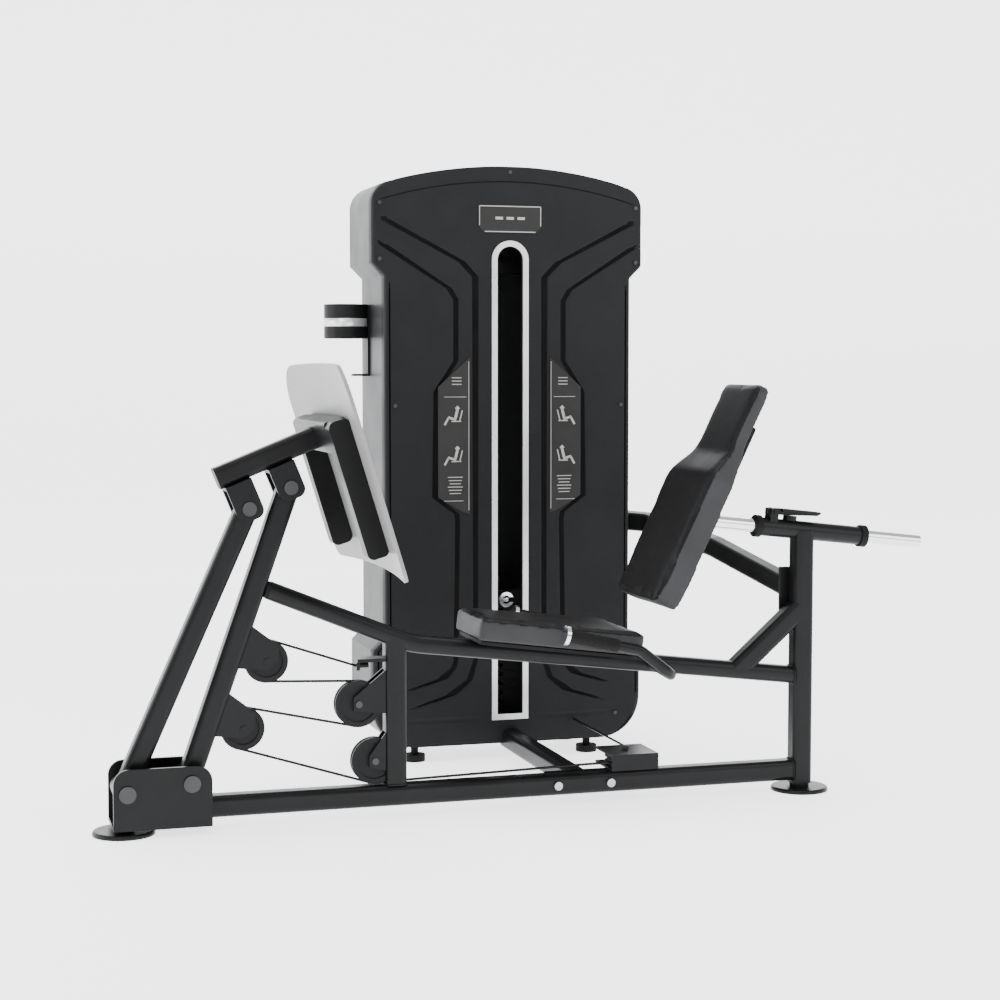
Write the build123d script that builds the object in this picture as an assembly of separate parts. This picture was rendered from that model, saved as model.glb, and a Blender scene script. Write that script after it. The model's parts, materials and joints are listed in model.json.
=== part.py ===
from build123d import *
import math
import os

os.makedirs("parts", exist_ok=True)

# Leg press machine, millimetres. X runs along the machine from the press arm to the backrest, Y runs back
# to the weight tower, Z is up. The origin is the middle of the left foot's underside, on the floor.

# Tubes
tube_size = 50.0
tube_corner = 13.0
tube_wall = 3.0
half_tube = tube_size / 2
rail_width = 50.0
rail_height = 42.0

# Base
base_height = 52.0
base_start = 40.0
base_end = 1622.0
base_top = base_height + half_tube
foot_radius = 70.0
foot_thickness = 10.0
channel_bottom = 19.0
channel_left = -28.0
channel_right = 190.0
channel_top = 156.0
channel_half = 64.0
channel_wall = 8.0
channel_corner = 34.0
right_post_x = 1647.0
front_post_x = 622.0
post_slot_half = 14.0
post_slot_top = 200.0
cross_tube_x = 1078.0
flange_bolt_gap = 66.0
flange_half_width = 83.0
flange_half_height = 24.0
flange_thickness = 8.0
bolt_radius = 6.0
bolt_hole_radius = 6.2
bolt_head_radius = 10.0

# Seat rail: a bent tube from the press arm's rest stop to the rear post
rail_start = (329.4, 537.0)
rail_bend = (660.0, 402.0)
rail_end = (1622.0, 287.0)
rail_bend_radius = 220.0

# Press arm pivots, seen from the side as (x, z)
rear_low = (3.0, 101.0)
front_low = (145.0, 117.0)
rear_high = (282.0, 724.0)
front_high = (376.0, 770.0)
low_pin_radius = 12.0
high_pin_radius = 10.0
open_pivot_clearance = 3.7
running_gap = 0.05

# Carriage: beam centre line, then the foot plate's frame
beam_start = (218.4, 792.8)
beam_tilt = 22.1
plate_tilt = 17.0
bar_middle = (494.5, 774.0)
bar_half_length = 158.0
bar_offset = 190.0
bar_depth = 50.0
bar_width = 44.0
plate_width = 710.0
plate_below = 207.0
plate_above = 276.0
plate_thickness = 8.0
plate_sweep_back = 22.0
sheet_margin = 15.0

# Pulleys and cable
cable_radius = 3.0
pulley_width = 22.0
link_pulley_radius = 49.0
post_pulley_radius = 54.0
tower_pulley_radius = 40.0
axle_radius = 8.0
arm_pulley_high = (323.0, 376.0)
arm_pulley_low = (268.0, 225.0)
post_pulley_high = (534.0, 268.0)
post_pulley_low = (572.0, 134.0)
anchor_tip = (530.0, 360.0)
base_pulley = (1205.0, 40.0, 96.0)
base_pulley_radius = 50.0

# Weight tower
tower_x = 1073.0
tower_front = 570.0
tower_back = 840.0
stack_y = 705.0
body_half = 337.0
head_half = 370.0
cover_bottom = 42.0
cover_top = 1563.0
cover_wall = 4.0
front_cover_depth = 38.0
slot_half = 35.0
slot_low = 120.0
slot_high = 1355.0
trim_band = 15.0
rod_radius = 10.0
rod_offset = 105.0
stack_floor = 100.0
plate_count = 12
plate_pitch = 25.0
head_thickness = 40.0
head_bottom = stack_floor + plate_count * plate_pitch + 1.0
pin_height = head_bottom + head_thickness / 2
top_beam_low = 1440.0
rod_top = 1290.0
top_pulley_height = 1380.0

# Seat and backrest
seat_front_x = 787.0
seat_length = 400.0
seat_thickness = 52.0
seat_board_thickness = 8.0
seat_front_half = 120.0
seat_back_half = 165.0
slide_tilt = 6.4
slide_start = (1366.0, 673.0)
slide_end_x = 1965.0
backrest_tube_radius = 16.0
sleeve_radius = 22.5
sleeve_from_x = 1534.0
sleeve_to_x = 1800.0
back_low = (1266.0, 463.0)
back_tilt = 25.5
back_length = 590.0
back_upper_half = 115.0
back_lower_half = 150.0
lever_pivot = (1568.0, 689.0)
lock_pin_x = 1612.0
lock_pin_radius = 8.0
handle_offset = 200.0
handle_radius = 12.5
grip_radius = 16.0
grip_length = 125.0
grip_cap_radius = 22.0

# Bottle holder
holder_radius = 58.0
holder_hole = 53.0
holder_low = 1116.0
holder_high = 1206.0
holder_y = 765.0


def vec(x, y, z):
    return Vector(x, y, z)


def side(point, y=0.0):
    """A point given as (x, z) in the side view, at distance y."""
    return Vector(point[0], y, point[1])


def tube(start, end, width=tube_size, height=tube_size, corner=tube_corner, wall=tube_wall):
    """A straight rounded square tube; width runs across the machine. wall=0 gives the solid outer form."""
    run = end - start
    across = Vector(0, 1, 0) if abs(run.normalized().Y) < 0.9 else Vector(1, 0, 0)
    plane = Plane(origin=start, x_dir=across, z_dir=run)
    outer = extrude(plane * RectangleRounded(width, height, corner), amount=run.length)
    if wall == 0:
        return outer
    inner = RectangleRounded(width - 2 * wall, height - 2 * wall, corner - wall)
    return outer - extrude(plane * inner, amount=run.length)


def rod(start, end, radius, hole=0.0):
    run = end - start
    plane = Plane(origin=start, z_dir=run)
    outer = extrude(plane * Circle(radius), amount=run.length)
    if hole == 0:
        return outer
    return outer - extrude(plane * Circle(hole), amount=run.length)


def cross_rod(point, half_length, radius, hole=0.0, y=0.0):
    """A rod across the machine, centred at a side-view point."""
    return rod(side(point, y - half_length), side(point, y + half_length), radius, hole)


def block(x0, x1, y0, y1, z0, z1):
    return Pos((x0 + x1) / 2, (y0 + y1) / 2, (z0 + z1) / 2) * Box(x1 - x0, y1 - y0, z1 - z0)


def side_plate(points, y0, y1, corner=0.0):
    """A flat plate cut to a side-view outline, between two distances y."""
    outline = make_face(Polyline(*[(x, z) for x, z in points], close=True))
    if corner > 0:
        outline = fillet(outline.vertices(), corner)
    plane = Plane(origin=(0, y0, 0), x_dir=(1, 0, 0), z_dir=(0, -1, 0))
    return extrude(plane * outline, amount=-(y1 - y0))


def write(name, *solids):
    """Write one node. Several separate solids stay separate in one file."""
    parts = []
    for item in solids:
        parts += list(item.solids())
    shape = parts[0] if len(parts) == 1 else Compound(children=parts)
    export_step(shape, f"parts/{name}.step")


def along(point, direction, distance):
    return (point[0] + direction[0] * distance, point[1] + direction[1] * distance)


def unit(angle):
    """Side-view direction at an angle above +X."""
    return (math.cos(math.radians(angle)), math.sin(math.radians(angle)))


# ---- Frame ----
rail_path = FilletPolyline(side(rail_start), side(rail_bend), side(rail_end), radius=rail_bend_radius)
rail_plane = Plane(origin=side(rail_start), x_dir=(0, 1, 0), z_dir=side(rail_bend) - side(rail_start))
rail_form = sweep(rail_plane * RectangleRounded(rail_width, rail_height, 18), path=rail_path)
rail_inner = RectangleRounded(rail_width - 2 * tube_wall, rail_height - 2 * tube_wall, 15)
seat_rail = rail_form - sweep(rail_plane * rail_inner, path=rail_path)
rail_slope = (rail_end[1] - rail_bend[1]) / (rail_end[0] - rail_bend[0])


def rail_height_at(x):
    return rail_bend[1] + rail_slope * (x - rail_bend[0])


base_tube = tube(vec(base_start, 0, base_height), vec(base_end, 0, base_height))
flange_bolts = []
for bolt_x in (cross_tube_x - flange_bolt_gap, cross_tube_x + flange_bolt_gap):
    base_tube -= rod(vec(bolt_x, -30, base_height), vec(bolt_x, 30, base_height), bolt_hole_radius)
    shank = rod(vec(bolt_x, -31, base_height), vec(bolt_x, 39, base_height), bolt_radius)
    head = rod(vec(bolt_x, -32, base_height), vec(bolt_x, -half_tube, base_height), bolt_head_radius)
    nut = rod(vec(bolt_x, half_tube + flange_thickness, base_height), vec(bolt_x, 41, base_height),
              bolt_head_radius)
    flange_bolts.append(shank + head + nut)

slide_dir = unit(-slide_tilt)
slide_slope = slide_dir[1] / slide_dir[0]


def slide_height_at(x):
    return slide_start[1] + slide_slope * (x - slide_start[0])


def slide_point(x):
    return vec(x, 0, slide_height_at(x))


sleeve_form = rod(slide_point(sleeve_from_x), slide_point(sleeve_to_x), sleeve_radius)
rear_post_form = tube(vec(right_post_x, 0, channel_bottom), vec(right_post_x, 0, slide_height_at(right_post_x)),
                      wall=0)
rear_post = tube(vec(right_post_x, 0, channel_bottom), vec(right_post_x, 0, slide_height_at(right_post_x)))
rear_post -= sleeve_form

# The front post is slotted for the low pulley, and drilled behind it for the cable.
front_post = tube(vec(front_post_x, 0, base_top), vec(front_post_x, 0, rail_bend[1] + 15)) - rail_form
front_post = max(front_post.solids(), key=lambda piece: piece.volume)
front_post -= block(front_post_x - 30, front_post_x + post_slot_half, -post_slot_half, post_slot_half,
                    base_top - 1, post_slot_top)
front_post -= rod(vec(front_post_x, 0, 83), vec(front_post_x + 40, 0, 83), 7)

seat_rail -= rear_post_form

brace_low = vec(1462, 0, rail_height_at(1462) - 12)
brace_high = vec(right_post_x, 0, 457)
rail_brace = tube(brace_low, brace_high) - rail_form - rear_post_form
rail_brace = max(rail_brace.solids(), key=lambda piece: piece.volume)

cross_start = half_tube + flange_thickness
cross_end = tower_front + 25
cross_flange = block(cross_tube_x - flange_half_width, cross_tube_x + flange_half_width, half_tube, cross_start,
                     base_height - flange_half_height, base_height + flange_half_height)
for bolt_x in (cross_tube_x - flange_bolt_gap, cross_tube_x + flange_bolt_gap):
    cross_flange -= rod(vec(bolt_x, 20, base_height), vec(bolt_x, 40, base_height), bolt_hole_radius)
cross_tube = tube(vec(cross_tube_x, cross_start, base_height), vec(cross_tube_x, cross_end, base_height))
cross_tube += cross_flange

# Link tube between the rear post and the tower's side, with a flange at each end
link_points = [vec(right_post_x - 6, half_tube + 7, 495), vec(1566, 350, 573), vec(1500, 655, 615),
               vec(tower_x + body_half + 12, 715, 620)]
link_path = FilletPolyline(*link_points, radius=60)
link_plane = Plane(origin=link_points[0], x_dir=(1, 0, 0), z_dir=link_points[1] - link_points[0])
link_form = sweep(link_plane * RectangleRounded(tube_size, tube_size, tube_corner), path=link_path)
link_inner = RectangleRounded(tube_size - 2 * tube_wall, tube_size - 2 * tube_wall, tube_corner - tube_wall)
link_tube = link_form - sweep(link_plane * link_inner, path=link_path)
link_tube -= block(1500, 1700, -50, half_tube + 8, 400, 600)
post_flange = block(right_post_x - 45, right_post_x + 25, half_tube, half_tube + 8, 440, 550)
tower_flange = block(tower_x + body_half + 2, tower_x + body_half + 10, 665, 765, 570, 670)
link_tube -= block(tower_x, tower_x + body_half + 10, 600, 800, 500, 700)
tower_link = [link_tube, post_flange, tower_flange]

# Pivot channel at the left end: two side plates on a floor plate
plate_outline = [(channel_left, channel_bottom), (channel_right, channel_bottom), (channel_right, channel_top),
                 (channel_left, channel_top)]
channel_inner = channel_half - channel_wall
near_plate = side_plate(plate_outline, -channel_half, -channel_inner)
top_edges = [e for e in near_plate.edges().filter_by(Axis.Y) if e.center().Z > channel_top - 1]
near_plate = fillet(top_edges, channel_corner)
far_plate = Pos(0, channel_half + channel_inner, 0) * near_plate
floor_plate = block(channel_left, channel_right, -channel_inner, channel_inner, channel_bottom,
                    channel_bottom + channel_wall)
pivot_bracket = near_plate + far_plate + floor_plate
for pivot in (rear_low, front_low):
    pivot_bracket -= cross_rod(pivot, 80, low_pin_radius)


def foot(x):
    disc = Pos(x, 0, foot_thickness / 2) * Cylinder(foot_radius, foot_thickness)
    disc = fillet(disc.edges().sort_by(Axis.Z)[-1], 6)
    return disc + Pos(x, 0, (foot_thickness + channel_bottom) / 2) * Cylinder(24, channel_bottom - foot_thickness)


foot_discs = [foot(0), foot(right_post_x)]

# Steel fasteners on the frame: flange bolts and the two low pivot pins with their heads
low_pins = []
for pivot in (rear_low, front_low):
    pin = cross_rod(pivot, 70, low_pin_radius)
    pin += cross_rod(pivot, 3, 19, y=-67) + cross_rod(pivot, 3, 19, y=67)
    low_pins.append(pin)

# Brackets for the post pulleys, the cable anchor and the base pulley's guard
bracket_gap = pulley_width / 2 + 2
pulley_brackets = []
for sign in (-1, 1):
    near, far = sorted((sign * bracket_gap, sign * (bracket_gap + 5)))
    x_post = front_post_x - half_tube
    high = side_plate([(x_post, 245), (x_post, 345), (522, 284), (522, 252)], near, far)
    low = side_plate([(x_post, 112), (x_post, 200), (558, 146), (558, 120)], near, far)
    pulley_brackets += [high, low]
anchor_bar = block(anchor_tip[0], x_post, -22, 22, anchor_tip[1] + 5, anchor_tip[1] + 13)
anchor_stop = block(anchor_tip[0], anchor_tip[0] + 8, -12, 12, anchor_tip[1] - 14, anchor_tip[1] + 5)
anchor_stop -= rod(vec(500, 0, anchor_tip[1] - 4), vec(560, 0, anchor_tip[1] - 4), 4)
cable_anchor = anchor_bar + anchor_stop
cable_ferrule = rod(vec(anchor_tip[0] + 8, 0, anchor_tip[1] - 4), vec(anchor_tip[0] + 30, 0, anchor_tip[1] - 4), 6)
high_axle = cross_rod(post_pulley_high, bracket_gap + 8, axle_radius)
low_axle = cross_rod(post_pulley_low, bracket_gap + 8, axle_radius)
for bracket_index, axle in enumerate((high_axle, low_axle, high_axle, low_axle)):
    pulley_brackets[bracket_index] -= axle
guard_x, guard_y, guard_z = base_pulley
groove_depth = 1.7
cable_x = guard_x + base_pulley_radius - groove_depth
guard_top = block(guard_x - 56, guard_x + 62, guard_y - 62, guard_y + 60, guard_z + 15, guard_z + 20)
guard_top -= Pos(guard_x, guard_y, guard_z + 17) * Cylinder(axle_radius, 20)
guard_left = block(guard_x + 56, guard_x + 62, guard_y - 62, guard_y - 10, base_top, guard_z + 15)
guard_near = block(guard_x - 56, guard_x + 56, guard_y - 62, guard_y - 58, base_top, guard_z + 15)
guard_plate = block(guard_x - 56, guard_x + 62, guard_y - 62, guard_y + 60, base_top, base_top + 5)
guard_plate -= Pos(guard_x, guard_y, base_top) * Cylinder(axle_radius, 30)
guard_left -= block(guard_x, guard_x + 90, guard_y - 80, guard_y + 80, base_top, base_top + 5)
guard_near -= block(guard_x - 90, guard_x + 90, guard_y - 80, guard_y, base_top, base_top + 5)
pulley_guard = guard_top + guard_left + guard_near + guard_plate
frame_axles = [high_axle, low_axle,
               rod(vec(guard_x, guard_y, base_top), vec(guard_x, guard_y, guard_z + 30), axle_radius)]

# Plastic end caps and the rubber stop that the press arm rests on
rail_run = (side(rail_start) - side(rail_bend)).normalized()
rest_stop_start = side(rail_start) + rail_run * 0.01
rest_stop = tube(rest_stop_start, side(rail_start) + rail_run * 7.0, rail_width - 4, rail_height - 4, 15, wall=0)
base_cap = tube(vec(base_start - 5, 0, base_height), vec(base_start, 0, base_height), wall=0)
tube_caps = [rest_stop, base_cap]

write("base_tube", base_tube)
write("cross_tube", cross_tube)
write("front_post", front_post)
write("rear_post", rear_post)
write("seat_rail", seat_rail)
write("rail_brace", rail_brace)
write("tower_link_tube", *tower_link)
write("pivot_bracket", pivot_bracket)
write("foot_discs", *foot_discs)
write("pulley_brackets", *pulley_brackets, cable_anchor, cable_ferrule, pulley_guard)


# ---- Weight tower ----
def cover_outline(inset):
    """Front view of the tower's cover: a wide head with an arched top, a waist and a wide foot."""
    head = head_half - inset
    body = body_half - inset
    low = cover_bottom + inset
    corners = [(head, 1505), (head, 1309), (body, 1276), (body, 332), (head, 300), (head, low),
               (-head, low), (-head, 300), (-body, 332), (-body, 1276), (-head, 1309), (-head, 1505)]
    sides = Polyline(*corners)
    top = ThreePointArc((-head, 1505), (0, cover_top - inset), (head, 1505))
    outline = make_face([sides, top])
    foot_corners = [v for v in outline.vertices() if v.Y < 100]
    outline = fillet(foot_corners, 110)
    top_corners = [v for v in outline.vertices() if abs(v.Y - 1505) < 5]
    return fillet(top_corners, 62)


cover_plane = Plane(origin=(tower_x, tower_front, 0), x_dir=(1, 0, 0), z_dir=(0, -1, 0))
outer_outline = cover_outline(0)
inner_outline = cover_outline(cover_wall)


def cover_block(outline, from_depth, to_depth):
    """The cover's outline as a block between two depths behind its front face."""
    plane = cover_plane.offset(-to_depth)
    return extrude(plane * outline, amount=to_depth - from_depth)


slot_shape = Pos(0, (slot_low + slot_high) / 2) * SlotOverall(slot_high - slot_low, 2 * slot_half, rotation=90)
slot_shape += Pos(0, slot_low + 60) * Rectangle(2 * slot_half, 120)
slot_outer = Pos(0, (slot_low + slot_high) / 2) * SlotOverall(slot_high - slot_low + 2 * trim_band,
                                                              2 * (slot_half + trim_band), rotation=90)
slot_outer += Pos(0, slot_low + 60 - trim_band / 2) * Rectangle(2 * (slot_half + trim_band), 120 + trim_band)
cover_depth = tower_back - tower_front
tower_open_bottom = block(tower_x - 262, tower_x + 262, tower_front + cover_wall, tower_back + 5,
                          cover_bottom - 5, cover_bottom + 12)
cross_notch = block(cross_tube_x - 28, cross_tube_x + 28, tower_front - 5, tower_front + 30, 20, base_top + 3)

front_cover = cover_block(outer_outline, 0, front_cover_depth)
front_cover -= cover_block(inner_outline, cover_wall, front_cover_depth)
front_cover -= extrude(cover_plane * slot_shape, amount=-20)
front_cover = front_cover - tower_open_bottom - cross_notch
front_cover -= rod(vec(cable_x, tower_front - 5, guard_z), vec(cable_x, tower_front + 10,
                                                                         guard_z), 12)
rear_cover = cover_block(outer_outline, front_cover_depth, cover_depth)
rear_cover -= cover_block(inner_outline, front_cover_depth, cover_depth - cover_wall)
rear_cover -= tower_open_bottom
rear_cover -= block(tower_x - 262, tower_x + 262, tower_back - 10, tower_back + 5, cover_bottom - 5, 92)

slot_trim = extrude(cover_plane * (slot_outer - slot_shape), amount=4)

placard_outline = [(110, 1065), (196, 988), (196, 700), (128, 660), (110, 655)]
placards = []
for mirror in (-1, 1):
    outline = make_face(Polyline(*[(mirror * x, z) for x, z in placard_outline], close=True))
    placards.append(extrude(cover_plane * outline, amount=2))
name_outline = [(-70, 1390), (70, 1390), (86, 1408), (86, 1462), (-86, 1462), (-86, 1408)]
name_plate = extrude(cover_plane * make_face(Polyline(*name_outline, close=True)), amount=2)

cover_screws = []
for screw_x, screw_z in ((0, 1548), (350, 1462), (350, 1318), (310, 940), (297, 108)):
    for mirror in ((-1, 1) if screw_x else (1,)):
        start = vec(tower_x + mirror * screw_x, tower_front - 2, screw_z)
        cover_screws.append(rod(start, start + vec(0, 2, 0), 5))

# Steel frame inside the covers
front_beam = block(800, 1346, cross_end, cross_end + 30, 52, 86)
back_beam = block(800, 1346, 790, 820, 52, 86)
side_beams = [block(x, x + 40, cross_end + 30, 790, 52, 86) for x in (800, 1306)]
stack_base = block(900, 1246, cross_end + 30, 790, 74, 86)
low_wheel_gap = block(cable_x - 16, cable_x + 16, cross_end + 30, 790, 60, 100)
stack_base -= low_wheel_gap
uprights = [block(x, x + 40, stack_y - 25, stack_y + 25, 86, top_beam_low) for x in (800, 1306)]
rod_bar = block(840, 1306, stack_y - 25, stack_y + 25, rod_top, rod_top + 30)
for hole_x in (tower_x, cable_x):
    rod_bar -= rod(vec(hole_x, stack_y, rod_top - 1), vec(hole_x, stack_y, rod_top + 31), 9)
top_beam = block(800, 1346, stack_y - 25, stack_y + 25, top_beam_low, top_beam_low + 40)
rod_xs = (tower_x - rod_offset, tower_x + rod_offset)
low_tower_pulley = (cable_x, stack_y - tower_pulley_radius + groove_depth,
                    guard_z + tower_pulley_radius - groove_depth)
top_pulley_out = (cable_x - tower_pulley_radius + groove_depth, stack_y, top_pulley_height)
top_pulley_in = (tower_x + tower_pulley_radius - groove_depth, stack_y, top_pulley_height)
wheel_supports = []
for sign in (-1, 1):
    near, far = sorted((sign * bracket_gap, sign * (bracket_gap + 5)))
    wheel_supports.append(block(cable_x + near, cable_x + far, cross_end + 2, low_tower_pulley[1] + 20,
                                86, low_tower_pulley[2] + 20))
    wheel_supports.append(block(top_pulley_in[0] - 20, top_pulley_out[0] + 20, stack_y + near, stack_y + far,
                                top_pulley_height - 20, top_beam_low))
tower_axles = []
for centre in (top_pulley_in, top_pulley_out):
    tower_axles.append(cross_rod((centre[0], centre[2]), bracket_gap + 6, axle_radius, y=stack_y))
low_centre = vec(*low_tower_pulley)
tower_axles.append(rod(low_centre - vec(bracket_gap + 6, 0, 0), low_centre + vec(bracket_gap + 6, 0, 0),
                       axle_radius))
for index, support in enumerate(wheel_supports):
    for axle in tower_axles:
        support -= axle
    wheel_supports[index] = support
tower_frame = [*wheel_supports, front_beam, back_beam, *side_beams, *stack_base.solids(), *uprights, rod_bar, top_beam]
guide_rods = [rod(vec(x, stack_y, 86), vec(x, stack_y, rod_top), rod_radius) for x in rod_xs]
bumpers = [rod(vec(x, stack_y, 86), vec(x, stack_y, stack_floor - 0.5), 22, rod_radius) for x in rod_xs]

feet_places = [(822, 612), (1302, 612), (822, 803), (1302, 803)]
tower_feet = []
for foot_x, foot_y in feet_places:
    tower_feet.append(Pos(foot_x, foot_y, 9) * Cylinder(28, 18) + Pos(foot_x, foot_y, 35) * Cylinder(10, 34))


def stack_slab(low, thickness, stem_hole, rod_hole):
    slab = block(tower_x - 150, tower_x + 150, stack_y - 52, stack_y + 52, low, low + thickness)
    for x in rod_xs:
        slab -= rod(vec(x, stack_y, low - 1), vec(x, stack_y, low + thickness + 1), rod_hole)
    slab -= rod(vec(tower_x, stack_y, low - 1), vec(tower_x, stack_y, low + thickness + 1), stem_hole)
    return slab


pin_radius = 5.0
weight_plates = []
for index in range(plate_count):
    low = stack_floor + index * plate_pitch
    plate = stack_slab(low, plate_pitch - 0.6, 15, rod_radius + 1)
    middle = low + plate_pitch / 2
    plate -= rod(vec(tower_x, stack_y - 60, middle), vec(tower_x, stack_y + 20, middle), pin_radius + 0.6)
    weight_plates.append(plate)

stem_radius = 11.0
head_plate = stack_slab(head_bottom, head_thickness, stem_radius, rod_radius + running_gap)
head_plate -= rod(vec(tower_x, stack_y - 60, pin_height), vec(tower_x, stack_y + 20, pin_height),
                  pin_radius + running_gap)
stem = rod(vec(tower_x, stack_y, stack_floor + 6), vec(tower_x, stack_y, head_bottom + head_thickness + 30),
           stem_radius)
stem -= rod(vec(tower_x, stack_y - 60, pin_height), vec(tower_x, stack_y + 20, pin_height),
            pin_radius + running_gap)

# Selector pin: a steel pin with an open pull ring in front of the stack
ring_y = tower_front + 32
selector_pin = rod(vec(tower_x, ring_y, pin_height), vec(tower_x, stack_y + 15, pin_height), pin_radius)
ring_plane = Plane(origin=(tower_x, ring_y, pin_height), z_dir=(0, 1, 0), x_dir=(1, 0, 0))
pull_ring = extrude(ring_plane * (Circle(20) - Circle(11)), amount=6)
pull_ring -= block(tower_x + 4, tower_x + 30, ring_y - 1, ring_y + 7, pin_height - 7, pin_height + 7)
pull_bar = block(tower_x - 15, tower_x + 5, ring_y, ring_y + 6, pin_height - 5, pin_height + 5)
selector_pin = selector_pin + pull_ring + pull_bar

# Bottle holder on the tower's left side
holder_x = tower_x - body_half - holder_radius - 3
bottle_holder = rod(vec(holder_x, holder_y, holder_low), vec(holder_x, holder_y, holder_high), holder_radius,
                    holder_hole)
wall_x = tower_x - body_half
strap_low = holder_low - 100
strap = block(wall_x - 6, wall_x, holder_y - 20, holder_y + 20, strap_low, holder_high)
tongue = block(wall_x - 44, wall_x, holder_y - 14, holder_y + 14, strap_low, strap_low + 6)
holder_bore = rod(vec(holder_x, holder_y, holder_low - 16), vec(holder_x, holder_y, holder_high + 4), holder_hole)
bottle_holder = bottle_holder + strap + tongue - holder_bore

write("tower_frame", *tower_frame, *bumpers)
write("guide_rods", *guide_rods)
write("tower_feet", *tower_feet)
write("weight_plates", *weight_plates)
write("front_cover", front_cover)
write("rear_cover", rear_cover)
write("slot_trim", slot_trim)
write("placards", *placards, name_plate)
write("frame_bolts", *flange_bolts, *low_pins, *frame_axles, *cover_screws, *tower_axles)
write("head_plate", head_plate)
write("selector_stem", stem)
write("selector_pin", selector_pin)
write("bottle_holder", bottle_holder)


# ---- Seat ----
rail_dir = Vector(rail_end[0] - rail_bend[0], 0, rail_end[1] - rail_bend[1]).normalized()
seat_plane = Plane(origin=vec(seat_front_x, 0, rail_height_at(seat_front_x) + rail_height / 2 + 0.3),
                   x_dir=rail_dir, z_dir=rail_dir.cross(Vector(0, 1, 0)))


def seat_plan(inset):
    """Seen from above: narrow at the front, wide at the back."""
    points = [(inset, -seat_front_half + inset), (seat_length - inset, -seat_back_half + inset),
              (seat_length - inset, seat_back_half - inset), (inset, seat_front_half - inset)]
    outline = make_face(Polyline(*points, close=True))
    return fillet(outline.vertices(), 22)


seat_board = extrude(seat_plane * seat_plan(16), amount=seat_board_thickness)
pad_plane = seat_plane.offset(seat_board_thickness + 0.05)
seat_pad = extrude(pad_plane * seat_plan(0), amount=seat_thickness)
seat_pad = fillet(seat_pad.edges().group_by(SortBy.LENGTH)[-1], 6)

# Handles: one on each side, gripped at the front and curved down and in to the rail
handle_bars = []
handle_grips = []
grip_caps = []
for sign in (-1, 1):
    handle_y = sign * handle_offset
    points = [vec(978, handle_y, 433), vec(1153, handle_y, 393), vec(1236, handle_y, 328),
              vec(1250, sign * (rail_width / 2 - 1), rail_height_at(1250))]
    path = FilletPolyline(*points, radius=38)
    plane = Plane(origin=points[0], z_dir=points[1] - points[0])
    handle_bars.append(sweep(plane * Circle(handle_radius), path=path) - rail_form)
    run = (points[1] - points[0]).normalized()
    handle_grips.append(rod(points[0], points[0] + run * grip_length, grip_radius, handle_radius))
    grip_caps.append(rod(points[0] - run * 9, points[0], grip_cap_radius))

# ---- Backrest ----
back_dir = unit(90 - back_tilt)
back_plane = Plane(origin=side(back_low), x_dir=(back_dir[0], 0, back_dir[1]), z_dir=(0, -1, 0))
back_profile = Polyline((0, 0), (back_length, 0), (back_length, 32), (400, 32), (335, 62), (0, 62), close=True)
back_profile = make_face(back_profile)
back_profile = fillet([v for v in back_profile.vertices() if v.X > 330 and v.X < 410], 60)
back_form = extrude(back_plane * back_profile, amount=200, both=True)
back_front = Plane(origin=side(back_low), x_dir=(0, -1, 0), z_dir=(-back_dir[1], 0, back_dir[0]))
back_outline = [(-back_lower_half + 12, 0), (back_lower_half - 12, 0), (back_lower_half, 60),
                (back_lower_half, 330), (back_upper_half, 440), (back_upper_half, back_length),
                (-back_upper_half, back_length), (-back_upper_half, 440), (-back_lower_half, 330),
                (-back_lower_half, 60)]
back_face = make_face(Polyline(*back_outline, close=True))
back_face = fillet(back_face.vertices(), 30)
back_pad = back_form & extrude(back_front * back_face, amount=120, both=True)

board_thickness = 12.0
mount_thickness = 8.0


def behind_pad(low, high, half, near, far):
    """A board behind the back pad: between two heights along it and two depths behind it."""
    plane = back_front.offset(-far)
    return extrude(plane * (Pos(0, (low + high) / 2) * RectangleRounded(2 * half, high - low, 12)),
                   amount=far - near)


back_board = behind_pad(160, 485, 90, 0.05, board_thickness)
mount_plate = behind_pad(175, 300, 60, board_thickness, board_thickness + mount_thickness)
tube_end = slide_point(slide_start[0] + 18)
backrest_tube_form = rod(tube_end, slide_point(slide_end_x), backrest_tube_radius)
backrest_tube = backrest_tube_form - behind_pad(100, 400, 120, -60, board_thickness + mount_thickness)
slide_up = Vector(-slide_dir[1], 0, slide_dir[0])
hole_pitch = 30.0
for index in range(10):
    hole_at = slide_point(lock_pin_x + (index - 4.5) * hole_pitch)
    backrest_tube -= rod(hole_at, hole_at + slide_up * 20, 5.3)

slide_sleeve = rod(slide_point(sleeve_from_x), slide_point(sleeve_to_x), sleeve_radius,
                   backrest_tube_radius + running_gap)
collar_left = rod(slide_point(sleeve_from_x - 14), slide_point(sleeve_from_x), 27,
                  backrest_tube_radius + running_gap)
collar_right = rod(slide_point(sleeve_to_x), slide_point(sleeve_to_x + 16), 27,
                   backrest_tube_radius + running_gap)

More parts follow.
